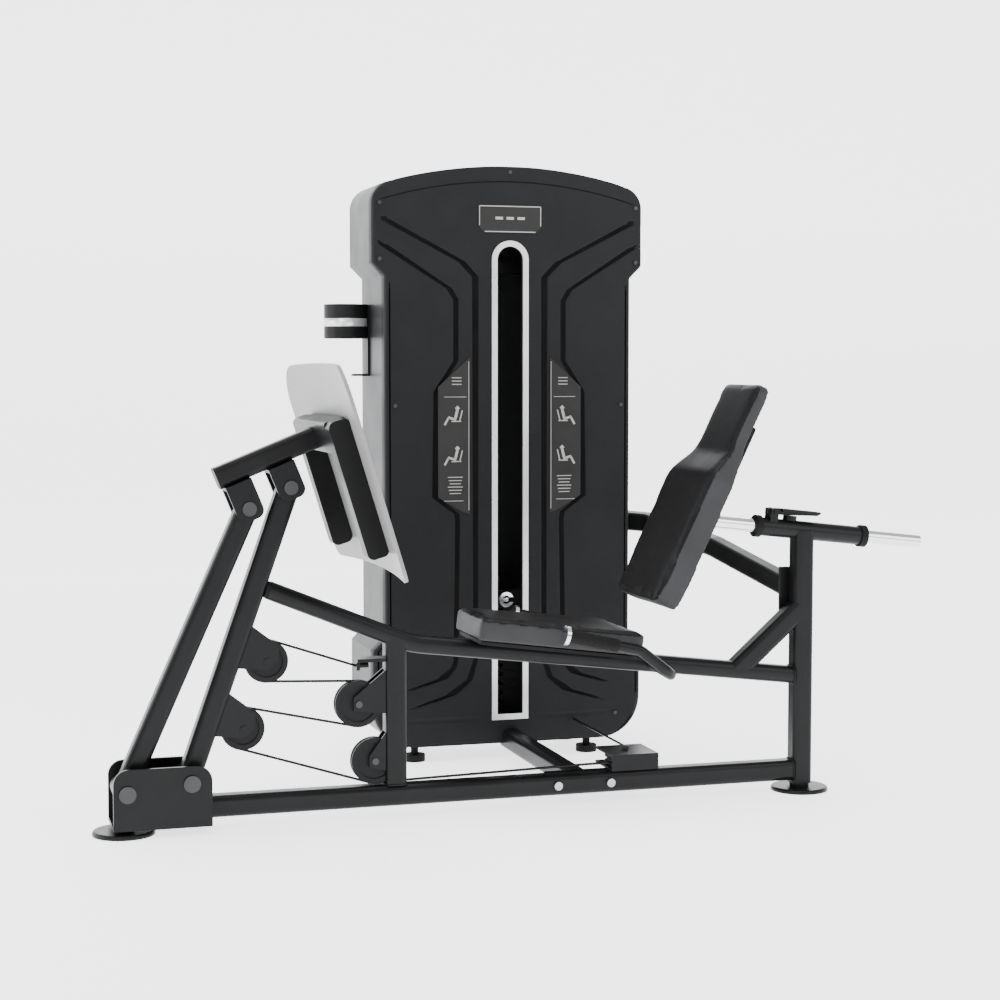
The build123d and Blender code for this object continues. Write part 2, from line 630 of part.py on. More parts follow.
# Lock: a lever on the sleeve lifts a spring pin out of the tube's holes
slide_axis_dir = Vector(slide_dir[0], 0, slide_dir[1])
pin_axis_point = slide_point(lock_pin_x)
pin_seat = backrest_tube_radius + 0.5
housing = rod(pin_axis_point + slide_up * (sleeve_radius - 2), pin_axis_point + slide_up * 33, 17,
              lock_pin_radius + running_gap)
housing -= sleeve_form
slide_sleeve -= rod(pin_axis_point, pin_axis_point + slide_up * 40, lock_pin_radius + running_gap)
lever_plane = Plane(origin=side(lever_pivot), x_dir=slide_axis_dir, z_dir=(0, -1, 0))
ear_low = -(lever_pivot[1] - slide_height_at(lever_pivot[0])) + 2
pivot_ears = []
for sign in (-1, 1):
    ear_plane = lever_plane.offset(sign * 15)
    ear = extrude(ear_plane * (Pos(0, ear_low / 2) * Rectangle(20, abs(ear_low))), amount=3, both=True)
    ear += extrude(ear_plane * Circle(10), amount=3, both=True)
    pivot_ears.append(ear - sleeve_form - cross_rod(lever_pivot, 30, 4))
lever_profile = make_face(Polyline((-14, -6), (20, -6), (118, 0), (122, 7), (118, 10), (20, 10), (-14, 8),
                                   close=True))
lock_lever = extrude(lever_plane * lever_profile, amount=11, both=True)
lever_blade = make_face(Polyline((20, 2), (118, 3), (122, 8), (118, 10), (20, 10), close=True))
lock_lever += extrude(lever_plane * lever_blade, amount=20, both=True)
lock_lever -= cross_rod(lever_pivot, 30, 4 + running_gap)
lever_pin = cross_rod(lever_pivot, 20, 4)
lock_pin = rod(pin_axis_point + slide_up * pin_seat, pin_axis_point + slide_up * 32.5, lock_pin_radius)
slide_sleeve = [slide_sleeve, housing, *pivot_ears]

write("seat_board", seat_board)
write("seat_pad", seat_pad)
write("handle_bars", *handle_bars)
write("handle_grips", *handle_grips)
write("grip_caps", *grip_caps)
write("back_pad", back_pad)
write("back_board", back_board, mount_plate)
write("backrest_tube", backrest_tube)
write("slide_sleeve", *slide_sleeve, lever_pin)
write("tube_caps", *tube_caps, collar_left, collar_right)
write("lock_lever", lock_lever)
write("lock_pin", lock_pin)


# ---- Press arm ----
def arm_link(low, high, high_bore, pulleys=()):
    """A tube between two barrels, with plates welded on for any cable pulleys."""
    body = tube(side(low), side(high))
    form = tube(side(low), side(high), wall=0)
    low_barrel = cross_rod(low, 50, 28)
    high_barrel = cross_rod(high, 28, 25)
    run = (high[0] - low[0], high[1] - low[1])
    length = math.hypot(*run)
    run = (run[0] / length, run[1] / length)
    out = (run[1], -run[0])
    for centre in pulleys:
        reach = (centre[0] - low[0]) * run[0] + (centre[1] - low[1]) * run[1]
        root = along(along(low, run, reach), out, half_tube - 2)
        points = [along(root, run, -34), along(root, run, 66), along(along(centre, run, 42), out, 14),
                  along(along(centre, run, 10), out, 24), along(along(centre, run, -18), out, 10)]
        for sign in (-1, 1):
            near, far = sorted((sign * bracket_gap, sign * (bracket_gap + 5)))
            body += side_plate(points, near, far) - form
        body += cross_rod(centre, bracket_gap + 7, axle_radius)
    body = body - low_barrel - high_barrel + low_barrel + high_barrel
    body -= cross_rod(low, 60, low_pin_radius + running_gap)
    return body - cross_rod(high, 60, high_bore)


front_link = arm_link(front_low, front_high, high_pin_radius + running_gap, (arm_pulley_high, arm_pulley_low))
rear_link = arm_link(rear_low, rear_high, high_pin_radius + open_pivot_clearance)

plate_up = unit(90 + plate_tilt)
plate_out = unit(plate_tilt)
cross_middle = along(bar_middle, plate_up, bar_half_length - 36)
beam_dir = unit(beam_tilt)
beam_down = (beam_dir[1], -beam_dir[0])
beam_end = along(beam_start, beam_dir, 260)
plate_frame_axis = Plane(origin=side(bar_middle), x_dir=(plate_up[0], 0, plate_up[1]), z_dir=(0, -1, 0))

# The foot plate bends back a little towards its two sides
back_offset = bar_depth / 2 + 6
bend_plane = Plane(origin=side(along(along(bar_middle, plate_out, back_offset), plate_up,
                                       -plate_below - sheet_margin)),
                   x_dir=(0, 1, 0), z_dir=(plate_up[0], 0, plate_up[1]))
half_plate = plate_width / 2
sheet_half = half_plate + sheet_margin
sheet_back = plate_sweep_back * (sheet_half / half_plate) ** 2


def bent_section(offset):
    return ThreePointArc((-sheet_half, sheet_back - offset), (0, -offset), (sheet_half, sheet_back - offset))


back_line = bent_section(0)
front_line = bent_section(plate_thickness)
section = make_face([back_line, front_line, Line(back_line @ 0, front_line @ 0),
                     Line(back_line @ 1, front_line @ 1)])
plate_height = plate_below + plate_above
bent_sheet = extrude(bend_plane * section, amount=plate_height + 2 * sheet_margin)
plate_front = Plane(origin=side(bar_middle), x_dir=(0, 1, 0), z_dir=(plate_out[0], 0, plate_out[1]))
plate_face = Pos(0, (plate_above - plate_below) / 2) * Rectangle(plate_width, plate_height)
plate_face = fillet([v for v in plate_face.vertices() if v.Y < 0], 30)
plate_face = fillet([v for v in plate_face.vertices() if abs(v.Y - plate_above) < 1], 95)
foot_plate = bent_sheet & extrude(plate_front * plate_face, amount=150, both=True)

bars = []
for sign in (-1, 1):
    bar_face = Rectangle(2 * bar_half_length, bar_depth)
    bar_face = fillet(bar_face.vertices(), 15)
    bar = extrude(plate_frame_axis.offset(sign * bar_offset) * bar_face, amount=bar_width / 2, both=True)
    reach_face = Pos(0, -bar_depth / 2) * Rectangle(2 * bar_half_length - 40, 20)
    bar += extrude(plate_frame_axis.offset(sign * bar_offset) * reach_face, amount=bar_width / 2, both=True)
    bars.append(bar - foot_plate)
bars = [max(bar.solids(), key=lambda piece: piece.volume) for bar in bars]
inner_reach = bar_offset - bar_width / 2
cross_member = extrude(Plane(origin=side(cross_middle), x_dir=(plate_up[0], 0, plate_up[1]), z_dir=(0, -1, 0))
                       * RectangleRounded(72, bar_depth, 6), amount=inner_reach, both=True)
cross_hollow = extrude(Plane(origin=side(cross_middle), x_dir=(plate_up[0], 0, plate_up[1]), z_dir=(0, -1, 0))
                       * RectangleRounded(66, bar_depth - 6, 3), amount=inner_reach, both=True)

carriage_beam = tube(side(beam_start), side(beam_end)) - cross_member
carriage_beam = max(carriage_beam.solids(), key=lambda piece: piece.volume)
cross_member -= cross_hollow
beam_cap = tube(side(along(beam_start, beam_dir, -6)), side(beam_start), wall=0)


def lug(pivot):
    """A U-shaped lug below the beam, its two cheeks either side of a link's barrel."""
    drop = (pivot[0] - beam_start[0]) * beam_down[0] + (pivot[1] - beam_start[1]) * beam_down[1]
    top = along(pivot, beam_down, half_tube - drop)
    foot_end = along(pivot, beam_down, 27)
    points = [along(top, beam_dir, -31), along(foot_end, beam_dir, -31), along(foot_end, beam_dir, 31),
              along(top, beam_dir, 31)]
    body = side_plate(points, -38, 38)
    body = fillet([e for e in body.edges().filter_by(Axis.Y) if e.center().Z < pivot[1]], 20)
    gap = [along(point, beam_down, 8) for point in (points[0], points[3])]
    gap_end = [along(point, beam_down, 20) for point in (points[1], points[2])]
    hollow = [along(gap[0], beam_dir, -5), along(gap_end[0], beam_dir, -5), along(gap_end[1], beam_dir, 5),
              along(gap[1], beam_dir, 5)]
    return body - side_plate(hollow, -30, 30) - cross_rod(pivot, 60, high_pin_radius)


lugs = [lug(rear_high), lug(front_high)]
upper_pins = []
for pivot in (rear_high, front_high):
    pin = cross_rod(pivot, 44, high_pin_radius)
    upper_pins.append(pin + cross_rod(pivot, 3, 16, y=-41) + cross_rod(pivot, 3, 16, y=41))

write("front_link", front_link)
write("rear_link", rear_link)
write("carriage_beam", carriage_beam, *lugs)
write("beam_caps", beam_cap)
write("plate_frame", cross_member, *bars)
write("foot_plate", foot_plate)
write("upper_pins", *upper_pins)


# ---- Pulleys and cable ----
def pulley(centre, radius, turn):
    wheel = Cylinder(radius, pulley_width) - Torus(radius, 5)
    wheel = wheel - Cylinder(axle_radius + running_gap, pulley_width + 2)
    for sign in (-1, 1):
        web = Pos(0, 0, sign * pulley_width / 2) * (Cylinder(radius - 12, 8) - Cylinder(axle_radius + 7, 8))
        wheel -= web
    return Pos(*centre) * turn * wheel


across = Rotation(90, 0, 0)
flat = Rotation(0, 0, 0)
lengthways = Rotation(0, 90, 0)
write("arm_pulley_high", pulley(side(arm_pulley_high), link_pulley_radius, across))
write("arm_pulley_low", pulley(side(arm_pulley_low), link_pulley_radius, across))
write("post_pulley_high", pulley(side(post_pulley_high), post_pulley_radius, across))
write("post_pulley_low", pulley(side(post_pulley_low), post_pulley_radius, across))
write("base_pulley", pulley(base_pulley, base_pulley_radius, flat))
write("tower_pulley_low", pulley(low_tower_pulley, tower_pulley_radius, lengthways))
write("tower_pulley_out", pulley(top_pulley_out, tower_pulley_radius, across))
write("tower_pulley_in", pulley(top_pulley_in, tower_pulley_radius, across))


def tangent_run(start_centre, start_radius, start_side, end_centre, end_radius, end_side):
    """Ends of a straight cable run between two pulleys, in the side view.

    Going from start to end, side +1 passes the pulley on the left of the direction, -1 on the right."""
    gap = (end_centre[0] - start_centre[0], end_centre[1] - start_centre[1])
    offset = start_side * start_radius - end_side * end_radius
    angle = math.atan2(gap[1], gap[0]) - math.asin(offset / math.hypot(*gap))
    left = (-math.sin(angle), math.cos(angle))
    return (along(start_centre, left, start_side * start_radius),
            along(end_centre, left, end_side * end_radius))


arm_pitch = link_pulley_radius - groove_depth
post_pitch = post_pulley_radius - groove_depth
anchor_point = (anchor_tip[0], anchor_tip[1] - 4)
runs = {
    "cable_run_1": tangent_run(anchor_point, 0, -1, arm_pulley_high, arm_pitch, -1),
    "cable_run_2": tangent_run(post_pulley_high, post_pitch, -1, arm_pulley_high, arm_pitch, 1),
    "cable_run_3": tangent_run(post_pulley_high, post_pitch, 1, arm_pulley_low, arm_pitch, -1),
    "cable_run_4": tangent_run(post_pulley_low, post_pitch, 1, arm_pulley_low, arm_pitch, 1),
}


def wrap(centre, start, end, clockwise):
    """Cable lying in a pulley's groove from one point round to another."""
    radius = math.hypot(start[0] - centre[0], start[1] - centre[1])
    first = math.atan2(start[1] - centre[1], start[0] - centre[0])
    last = math.atan2(end[1] - centre[1], end[0] - centre[0])
    if clockwise and last > first:
        last -= 2 * math.pi
    if not clockwise and last < first:
        last += 2 * math.pi
    middle = (first + last) / 2
    points = [side((centre[0] + radius * math.cos(a), centre[1] + radius * math.sin(a)))
              for a in (first, middle, last)]
    path = ThreePointArc(*points)
    plane = Plane(origin=path @ 0, z_dir=path % 0)
    return sweep(plane * Circle(cable_radius), path=path)


wraps = {
    "cable_run_2": wrap(arm_pulley_high, runs["cable_run_1"][1], runs["cable_run_2"][1], False),
    "cable_run_3": wrap(arm_pulley_low, runs["cable_run_3"][1], runs["cable_run_4"][1], False),
}
for name, (start, end) in runs.items():
    middle = ((start[0] + end[0]) / 2, (start[1] + end[1]) / 2)
    write(name + "_root", rod(side(start), side(middle), cable_radius))
    tip = [rod(side(middle), side(end), cable_radius)]
    if name in wraps:
        tip.append(wraps[name])
    write(name + "_tip", *tip)

post_wrap = wrap(post_pulley_high, runs["cable_run_2"][0], runs["cable_run_3"][0], True)
low_start = (post_pulley_low[0], post_pulley_low[1] - post_pitch)
low_wrap = wrap(post_pulley_low, runs["cable_run_4"][0], low_start, False)
base_pitch = base_pulley_radius - groove_depth
tower_pitch = tower_pulley_radius - groove_depth
base_y = guard_y - base_pitch
top_z = top_pulley_height + tower_pitch
stack_cable_top = top_pulley_height - 30
fixed_points = [side(low_start), vec(guard_x - 110, base_y, guard_z), vec(cable_x, base_y, guard_z),
                vec(cable_x, stack_y, guard_z), vec(cable_x, stack_y, top_z), vec(tower_x, stack_y, top_z),
                vec(tower_x, stack_y, stack_cable_top)]
fixed_path = FilletPolyline(*fixed_points, radius=[300, base_pitch, tower_pitch, tower_pitch, tower_pitch])
fixed_plane = Plane(origin=fixed_path @ 0, z_dir=fixed_path % 0)
fixed_run = sweep(fixed_plane * Circle(cable_radius), path=fixed_path)
write("fixed_cable", fixed_run, post_wrap, low_wrap)
stem_top = head_bottom + head_thickness + 30
write("stack_cable", rod(vec(tower_x, stack_y, stem_top), vec(tower_x, stack_y, stack_cable_top),
                         cable_radius))
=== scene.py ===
import bmesh
import bpy
import json
import math
import numpy as np
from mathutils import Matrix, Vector


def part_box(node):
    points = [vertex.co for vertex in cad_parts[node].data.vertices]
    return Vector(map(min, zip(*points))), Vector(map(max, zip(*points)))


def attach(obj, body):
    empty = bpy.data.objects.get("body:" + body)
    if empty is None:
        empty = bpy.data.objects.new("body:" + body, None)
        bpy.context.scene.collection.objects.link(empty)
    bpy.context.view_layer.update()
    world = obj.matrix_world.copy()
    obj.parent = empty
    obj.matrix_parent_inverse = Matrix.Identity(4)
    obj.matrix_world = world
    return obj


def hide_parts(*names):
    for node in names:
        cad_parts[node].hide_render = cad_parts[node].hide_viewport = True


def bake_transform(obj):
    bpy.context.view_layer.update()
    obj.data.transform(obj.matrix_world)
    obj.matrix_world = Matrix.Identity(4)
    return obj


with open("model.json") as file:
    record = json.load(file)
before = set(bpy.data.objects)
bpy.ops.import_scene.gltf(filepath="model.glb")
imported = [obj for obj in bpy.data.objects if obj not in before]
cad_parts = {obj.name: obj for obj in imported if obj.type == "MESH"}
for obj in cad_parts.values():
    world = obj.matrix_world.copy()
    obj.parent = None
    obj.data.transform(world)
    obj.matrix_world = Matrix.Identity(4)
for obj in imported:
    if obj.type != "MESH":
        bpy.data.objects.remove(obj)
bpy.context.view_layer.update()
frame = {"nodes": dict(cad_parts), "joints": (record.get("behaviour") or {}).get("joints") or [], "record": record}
nodes = frame["nodes"]
joints = {j["name"]: j for j in frame["joints"]}
print("frame loaded")

# Materials
# amount = bump height in metres, size = grain in metres, shift = how far the colour wanders
finishes = {
    "framePaint": dict(color=(0.0055, 0.0056, 0.0060), rough=0.34, metal=0.0,
                       coat=0.06, size=0.004, amount=0.00012, shift=0.25),
    "coverPlastic": dict(color=(0.0095, 0.0098, 0.0104), rough=0.50, metal=0.0,
                         coat=0.0, size=0.0016, amount=0.00012, shift=0.15),
    "shellPlastic": dict(color=(0.030, 0.030, 0.031), rough=0.42, metal=0.0,
                         coat=0.1, size=0.0016, amount=0.00010, shift=0.05),
    "trimSilver": dict(color=(0.72, 0.72, 0.73), rough=0.30, metal=0.65,
                       coat=0.0, size=0.0008, amount=0.00003, shift=0.08),
    "chrome": dict(color=(0.80, 0.80, 0.82), rough=0.09, metal=1.0,
                   coat=0.0, size=0.02, amount=0.00002, shift=0.03),
    "steel": dict(color=(0.42, 0.43, 0.44), rough=0.34, metal=1.0,
                  coat=0.0, size=0.001, amount=0.00003, shift=0.15),
    "rubber": dict(color=(0.007, 0.007, 0.0072), rough=0.70, metal=0.0,
                   coat=0.0, size=0.0018, amount=0.00014, shift=0.25),
    "nylon": dict(color=(0.008, 0.008, 0.0085), rough=0.42, metal=0.0,
                  coat=0.0, size=0.002, amount=0.00006, shift=0.2),
    "placard": dict(color=(0.022, 0.0215, 0.021), rough=0.40, metal=0.0,
                    coat=0.05, size=0.003, amount=0.00002, shift=0.12),
    "platePaint": dict(color=(0.24, 0.24, 0.238), rough=0.42, metal=0.0,
                       coat=0.2, size=0.0028, amount=0.00012, shift=0.07),
    "padTop": dict(color=(0.0065, 0.0065, 0.0070), rough=0.42, metal=0.0,
                   coat=0.0, size=0.0032, amount=0.00028, shift=0.2),
    # the pad's side finish is painted lighter than its top: painted light on the sides of one and the same cover
    "padSidePaintedLight": dict(color=(0.034, 0.034, 0.036), rough=0.52, metal=0.0,
                    coat=0.0, size=0.0032, amount=0.00028, shift=0.12),
    "board": dict(color=(0.010, 0.0095, 0.009), rough=0.68, metal=0.0,
                  coat=0.0, size=0.006, amount=0.00015, shift=0.3),
    "iron": dict(color=(0.008, 0.008, 0.0085), rough=0.60, metal=0.0,
                 coat=0.0, size=0.0025, amount=0.00025, shift=0.3),
    "cable": dict(color=(0.007, 0.007, 0.007), rough=0.34, metal=0.0,
                  coat=0.2, size=0.002, amount=0.00003, shift=0.1),
    # painted shade: a near-black finish for the groove bottoms and the top seam, standing in for the shade in
    # those recesses
    "groovePaintedShade": dict(color=(0.0020, 0.0020, 0.0020), rough=0.8, metal=0.0,
                       coat=0.0, size=0.003, amount=0.00005, shift=0.1),
    "darkSteel": dict(color=(0.055, 0.055, 0.057), rough=0.38, metal=0.9,
                      coat=0.0, size=0.001, amount=0.00003, shift=0.15),
    "print": dict(color=(0.34, 0.335, 0.32), rough=0.5, metal=0.0,
                  coat=0.0, size=0.002, amount=0.00001, shift=0.1),
}
materials = {}


def makeMaterial(name):
    f = finishes[name]
    m = bpy.data.materials.new(name)
    m.use_nodes = True
    tree = m.node_tree
    shader = tree.nodes["Principled BSDF"]
    shader.inputs["Metallic"].default_value = f["metal"]
    shader.inputs["Coat Weight"].default_value = f["coat"]
    shader.inputs["Coat Roughness"].default_value = 0.25
    shader.inputs["Specular IOR Level"].default_value = f.get("shine", 0.13)
    coords = tree.nodes.new("ShaderNodeTexCoord")
    grain = tree.nodes.new("ShaderNodeTexNoise")
    grain.inputs["Scale"].default_value = 1 / f["size"]
    grain.inputs["Detail"].default_value = 3
    tree.links.new(coords.outputs["Object"], grain.inputs["Vector"])
    # broad wear: a slow noise that moves colour and roughness a little
    broad = tree.nodes.new("ShaderNodeTexNoise")
    broad.inputs["Scale"].default_value = 9
    broad.inputs["Detail"].default_value = 5
    tree.links.new(coords.outputs["Object"], broad.inputs["Vector"])
    ramp = tree.nodes.new("ShaderNodeMapRange")
    ramp.inputs["From Min"].default_value = 0.3
    ramp.inputs["From Max"].default_value = 0.7
    ramp.inputs["To Min"].default_value = 1 - f["shift"]
    ramp.inputs["To Max"].default_value = 1 + f["shift"]
    tree.links.new(broad.outputs["Fac"], ramp.inputs["Value"])
    tint = tree.nodes.new("ShaderNodeVectorMath")
    tint.operation = "SCALE"
    tint.inputs[0].default_value = f["color"]
    tree.links.new(ramp.outputs["Result"], tint.inputs["Scale"])
    tree.links.new(tint.outputs["Vector"], shader.inputs["Base Color"])
    gloss = tree.nodes.new("ShaderNodeMapRange")
    gloss.inputs["From Min"].default_value = 0.3
    gloss.inputs["From Max"].default_value = 0.7
    gloss.inputs["To Min"].default_value = f["rough"] * 0.88
    gloss.inputs["To Max"].default_value = f["rough"] * 1.14
    tree.links.new(broad.outputs["Fac"], gloss.inputs["Value"])
    tree.links.new(gloss.outputs["Result"], shader.inputs["Roughness"])
    bump = tree.nodes.new("ShaderNodeBump")
    bump.inputs["Strength"].default_value = 1.0
    bump.inputs["Distance"].default_value = f["amount"]
    tree.links.new(grain.outputs["Fac"], bump.inputs["Height"])
    tree.links.new(bump.outputs["Normal"], shader.inputs["Normal"])
    materials[name] = m


for finishName in finishes:
    makeMaterial(finishName)

slotFinish = {
    "frame_paint": "framePaint", "cover_plastic": "coverPlastic", "shell_plastic": "shellPlastic",
    "trim_silver": "trimSilver", "chrome": "chrome", "steel": "steel", "rubber": "rubber", "nylon": "nylon",
    "placard": "placard", "plate_paint": "platePaint", "pad": "padTop", "board": "board", "iron": "iron",
    "cable": "cable",
}
for part in frame["record"]["subparts"]:
    cadMesh = nodes[part["node"]].data
    cadMesh.materials.clear()
    cadMesh.materials.append(materials[slotFinish[part["material_slot"]]])
# the two flange bolts in front are bright; the pins, axles and cover screws are blacked
boltMesh = nodes["frame_bolts"].data
boltMesh.materials.append(materials["darkSteel"])
crossLow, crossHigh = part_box("cross_tube")
boltMesh.polygons.foreach_set("material_index", np.array(
    [0 if crossLow.x - 0.02 < p.center.x < crossHigh.x + 0.02 and p.center.y < 0.05 else 1
     for p in boltMesh.polygons], np.int32))
nodes["upper_pins"].data.materials[0] = materials["darkSteel"]
print("materials done")


# Mesh helpers
def addMesh(name, points, faces, finish, body=None, stands=(), slotName=None, smooth=True):
    mesh = bpy.data.meshes.new(name)
    points = np.asarray(points, float)
    faces = np.asarray(faces, np.int32)
    mesh.vertices.add(len(points))
    mesh.vertices.foreach_set("co", points.reshape(-1))
    size = faces.shape[1]
    mesh.loops.add(faces.size)
    mesh.loops.foreach_set("vertex_index", faces.reshape(-1))
    mesh.polygons.add(len(faces))
    mesh.polygons.foreach_set("loop_start", np.arange(0, faces.size, size, dtype=np.int32))
    mesh.polygons.foreach_set("loop_total", np.full(len(faces), size, np.int32))
    mesh.polygons.foreach_set("use_smooth", np.full(len(faces), smooth))
    mesh.update(calc_edges=True)
    mesh.validate()
    mesh.materials.append(materials[finish])
    piece = bpy.data.objects.new(name, mesh)
    bpy.context.scene.collection.objects.link(piece)
    if stands:
        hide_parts(*stands)
    if body:
        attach(piece, body)
    return piece


def gridFaces(rows, columns, wrapColumns=False, wrapRows=False):
    # the four corners of each cell of a grid whose points are numbered row by row
    r = np.arange(rows if wrapRows else rows - 1)
    c = np.arange(columns if wrapColumns else columns - 1)
    a, b = np.meshgrid(r, c, indexing="ij")
    a2, b2 = (a + 1) % rows, (b + 1) % columns
    corners = [a * columns + b, a * columns + b2, a2 * columns + b2, a2 * columns + b]
    return np.stack(corners, -1).reshape(-1, 4)


def readPoints(mesh, what="co"):
    values = np.empty(len(mesh.vertices) * 3)
    mesh.vertices.foreach_get(what, values)
    return values.reshape(-1, 3)


def faceMeans(mesh, values):
    # the mean of a value per vertex over each face's corners
    corners = np.empty(len(mesh.loops), np.int32)
    mesh.loops.foreach_get("vertex_index", corners)
    starts = np.empty(len(mesh.polygons), np.int32)
    mesh.polygons.foreach_get("loop_start", starts)
    return np.add.reduceat(values[corners], starts) / np.diff(np.append(starts, len(corners)))


def fixNormals(piece, merge=0.0):
    work = bmesh.new()
    work.from_mesh(piece.data)
    if merge:
        bmesh.ops.remove_doubles(work, verts=work.verts, dist=merge)
    bmesh.ops.recalc_face_normals(work, faces=work.faces)
    work.to_mesh(piece.data)
    work.free()


def joinSets(sets):
    # several (points, faces) sets as one
    points, faces, start = [], [], 0
    for p, f in sets:
        points.append(np.asarray(p, float))
        faces.append(np.asarray(f) + start)
        start += len(p)
    return np.concatenate(points), np.concatenate(faces)


def frameAlong(path):
    # tangent, side and up at each point, carried along without twisting
    path = np.asarray(path, float)
    tangent = np.gradient(path, axis=0)
    tangent /= np.linalg.norm(tangent, axis=1)[:, None]
    up = np.array([0, 1.0, 0]) if abs(tangent[0][1]) < 0.9 else np.array([1.0, 0, 0])
    ups = np.empty_like(path)
    for i, t in enumerate(tangent):
        up = up - t * (up @ t)
        up = up / np.linalg.norm(up)
        ups[i] = up
    return tangent, np.cross(tangent, ups), ups


def tubeAlong(path, radii, around=16):
    # circle of radius r(s) swept along a path, with a pole at each end
    path = np.asarray(path, float)
    radii = np.broadcast_to(np.asarray(radii, float), (len(path),))
    sideways, ups = frameAlong(path)[1:]
    angle = np.linspace(0, 2 * np.pi, around, endpoint=False)
    ring = (np.cos(angle)[None, :, None] * sideways[:, None, :]
            + np.sin(angle)[None, :, None] * ups[:, None, :])
    points = (path[:, None, :] + radii[:, None, None] * ring).reshape(-1, 3)
    faces = gridFaces(len(path), around, wrapColumns=True)
    count = len(points)
    points = np.vstack([points, path[0], path[-1]])
    i = np.arange(around)
    j = (i + 1) % around
    first = np.stack([np.full(around, count), j, i, i], -1)
    last = np.stack([np.full(around, count + 1), (len(path) - 1) * around + i,
                     (len(path) - 1) * around + j, (len(path) - 1) * around + j], -1)
    faces = np.vstack([faces, first, last])
    return points, faces


def addPolys(name, points, faces, *more, **named):
    # like addMesh, for quads where some repeat a corner to make a triangle
    faces = np.asarray(faces)
    triangles = faces[:, 2] == faces[:, 3]
    quads = faces[~triangles]
    tris = faces[triangles][:, :3]
    piece = addMesh(name, points, quads, *more, **named)
    if len(tris):
        work = bmesh.new()
        work.from_mesh(piece.data)
        work.verts.ensure_lookup_table()
        for tri in tris:
            face = work.faces.new([work.verts[int(k)] for k in tri])
            face.smooth = True
        bmesh.ops.recalc_face_normals(work, faces=work.faces)
        work.to_mesh(piece.data)
        work.free()
    return piece


# Camera, light and floor
cameraAt = dict(place=(-0.427, -4.392, 1.042), down=3.89, turn=16.53, lens=70.8)
cameraData = bpy.data.cameras.new("camera")
cameraData.lens = cameraAt["lens"]
cameraData.sensor_width = 36
camera = bpy.data.objects.new("camera", cameraData)
camera.location = cameraAt["place"]
camera.rotation_euler = (math.radians(90 - cameraAt["down"]), 0, math.radians(-cameraAt["turn"]))
bpy.context.scene.collection.objects.link(camera)
bpy.context.scene.camera = camera

lights = {
    "key": dict(place=(-2.2, -3.4, 3.6), aim=(0.9, 0.1, 0.6), size=2.6, power=120),
    "fill": dict(place=(3.6, -3.0, 2.4), aim=(1.0, 0.2, 0.7), size=2.6, power=55),
    "top": dict(place=(0.9, 0.1, 3.8), aim=(0.9, 0.1, 0.0), size=3.0, power=85),
    "left": dict(place=(-3.0, 0.6, 1.6), aim=(0.4, 0.2, 0.7), size=1.8, power=55),
}
for lightName, d in lights.items():
    data = bpy.data.lights.new(lightName, "AREA")
    data.shape = "DISK"
    data.size = d["size"]
    data.energy = d["power"]
    lamp = bpy.data.objects.new(lightName, data)
    lamp.location = d["place"]
    lamp.rotation_euler = (Vector(d["aim"]) - Vector(d["place"])).to_track_quat("-Z", "Y").to_euler()
    bpy.context.scene.collection.objects.link(lamp)

world = bpy.data.worlds.new("world")
bpy.context.scene.world = world
world.use_nodes = True
world.node_tree.nodes["Background"].inputs["Color"].default_value = (0.93, 0.94, 0.95, 1)
world.node_tree.nodes["Background"].inputs["Strength"].default_value = 0.85

# the floor runs up into a backdrop far behind the machine: a profile in y and z, drawn along x
floor = dict(half=30.0, front=-30.0, back=5.5, height=7.0, bend=2.0, drop=0.0005)
bendAngle = np.linspace(0, np.pi / 2, 12)
floorLine = np.array([(floor["front"], -floor["drop"])]
                     + [(floor["back"] + floor["bend"] * math.sin(a),
                         floor["bend"] * (1 - math.cos(a)) - floor["drop"])
                        for a in bendAngle] + [(floor["back"] + floor["bend"], floor["height"])])
floorPoints = np.concatenate([np.column_stack([np.full(len(floorLine), x), floorLine])
                              for x in (-floor["half"], floor["half"])])
finishes["floorPale"] = dict(color=(0.90, 0.90, 0.90), rough=0.62, metal=0.0,
                             coat=0.0, size=0.01, amount=0.00002, shift=0.01)
makeMaterial("floorPale")
paleShader = materials["floorPale"].node_tree.nodes["Principled BSDF"]
paleShader.inputs["Emission Color"].default_value = (0.97, 0.98, 1.0, 1)
paleShader.inputs["Emission Strength"].default_value = 2.1
floorPiece = addMesh("floor", floorPoints, gridFaces(2, len(floorLine)), "floorPale")
print("camera, light and floor done")

# Tower's front cover: a moulded panel with grooves
coverLow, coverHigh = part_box("front_cover")
towerX = (coverLow.x + coverHigh.x) / 2
coverFace = coverLow.y
trimLow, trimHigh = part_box("slot_trim")
cover = dict(
    headHalf=coverHigh.x - towerX, bodyHalf=coverHigh.x - towerX - 0.033, bottom=coverLow.z, top=coverHigh.z,
    shoulder=(1.276, 1.309), hip=(0.332, 0.300), headCorner=1.505, topRound=0.062, footRound=0.110,
    slotHalf=trimHigh.x - towerX - 0.015, slotLow=trimLow.z + 0.015, slotTop=trimHigh.z - 0.015,
    edgeRound=0.012, grooveWide=0.0065, grooveDeep=0.0046, crown=0.004,
    rowStep=0.0045, depth=0.038, lipDeep=0.014,
    darkBelow=0.0016, darkEdge=0.0088, darkSlot=0.004, darkTop=0.01,
    footLine=0.111, footLineFrom=0.10, footLineTo=0.28, footLineWide=0.003, footLineDeep=0.0015,
)
# groove lines on the right half, as (distance from the middle, height)
grooveLines = {
    "outer": [(0.267, 0.145), (0.162, 0.177), (0.111, 0.216), (0.0945, 0.268), (0.0945, 1.275),
              (0.132, 1.314), (0.359, 1.432)],
    "inner": [(0.281, 0.192), (0.186, 0.221), (0.154, 0.250), (0.1485, 0.268), (0.143, 0.640),
              (0.146, 0.657), (0.202, 0.699), (0.200, 0.975), (0.147, 1.056), (0.147, 1.215),
              (0.165, 1.244), (0.362, 1.369)],
}


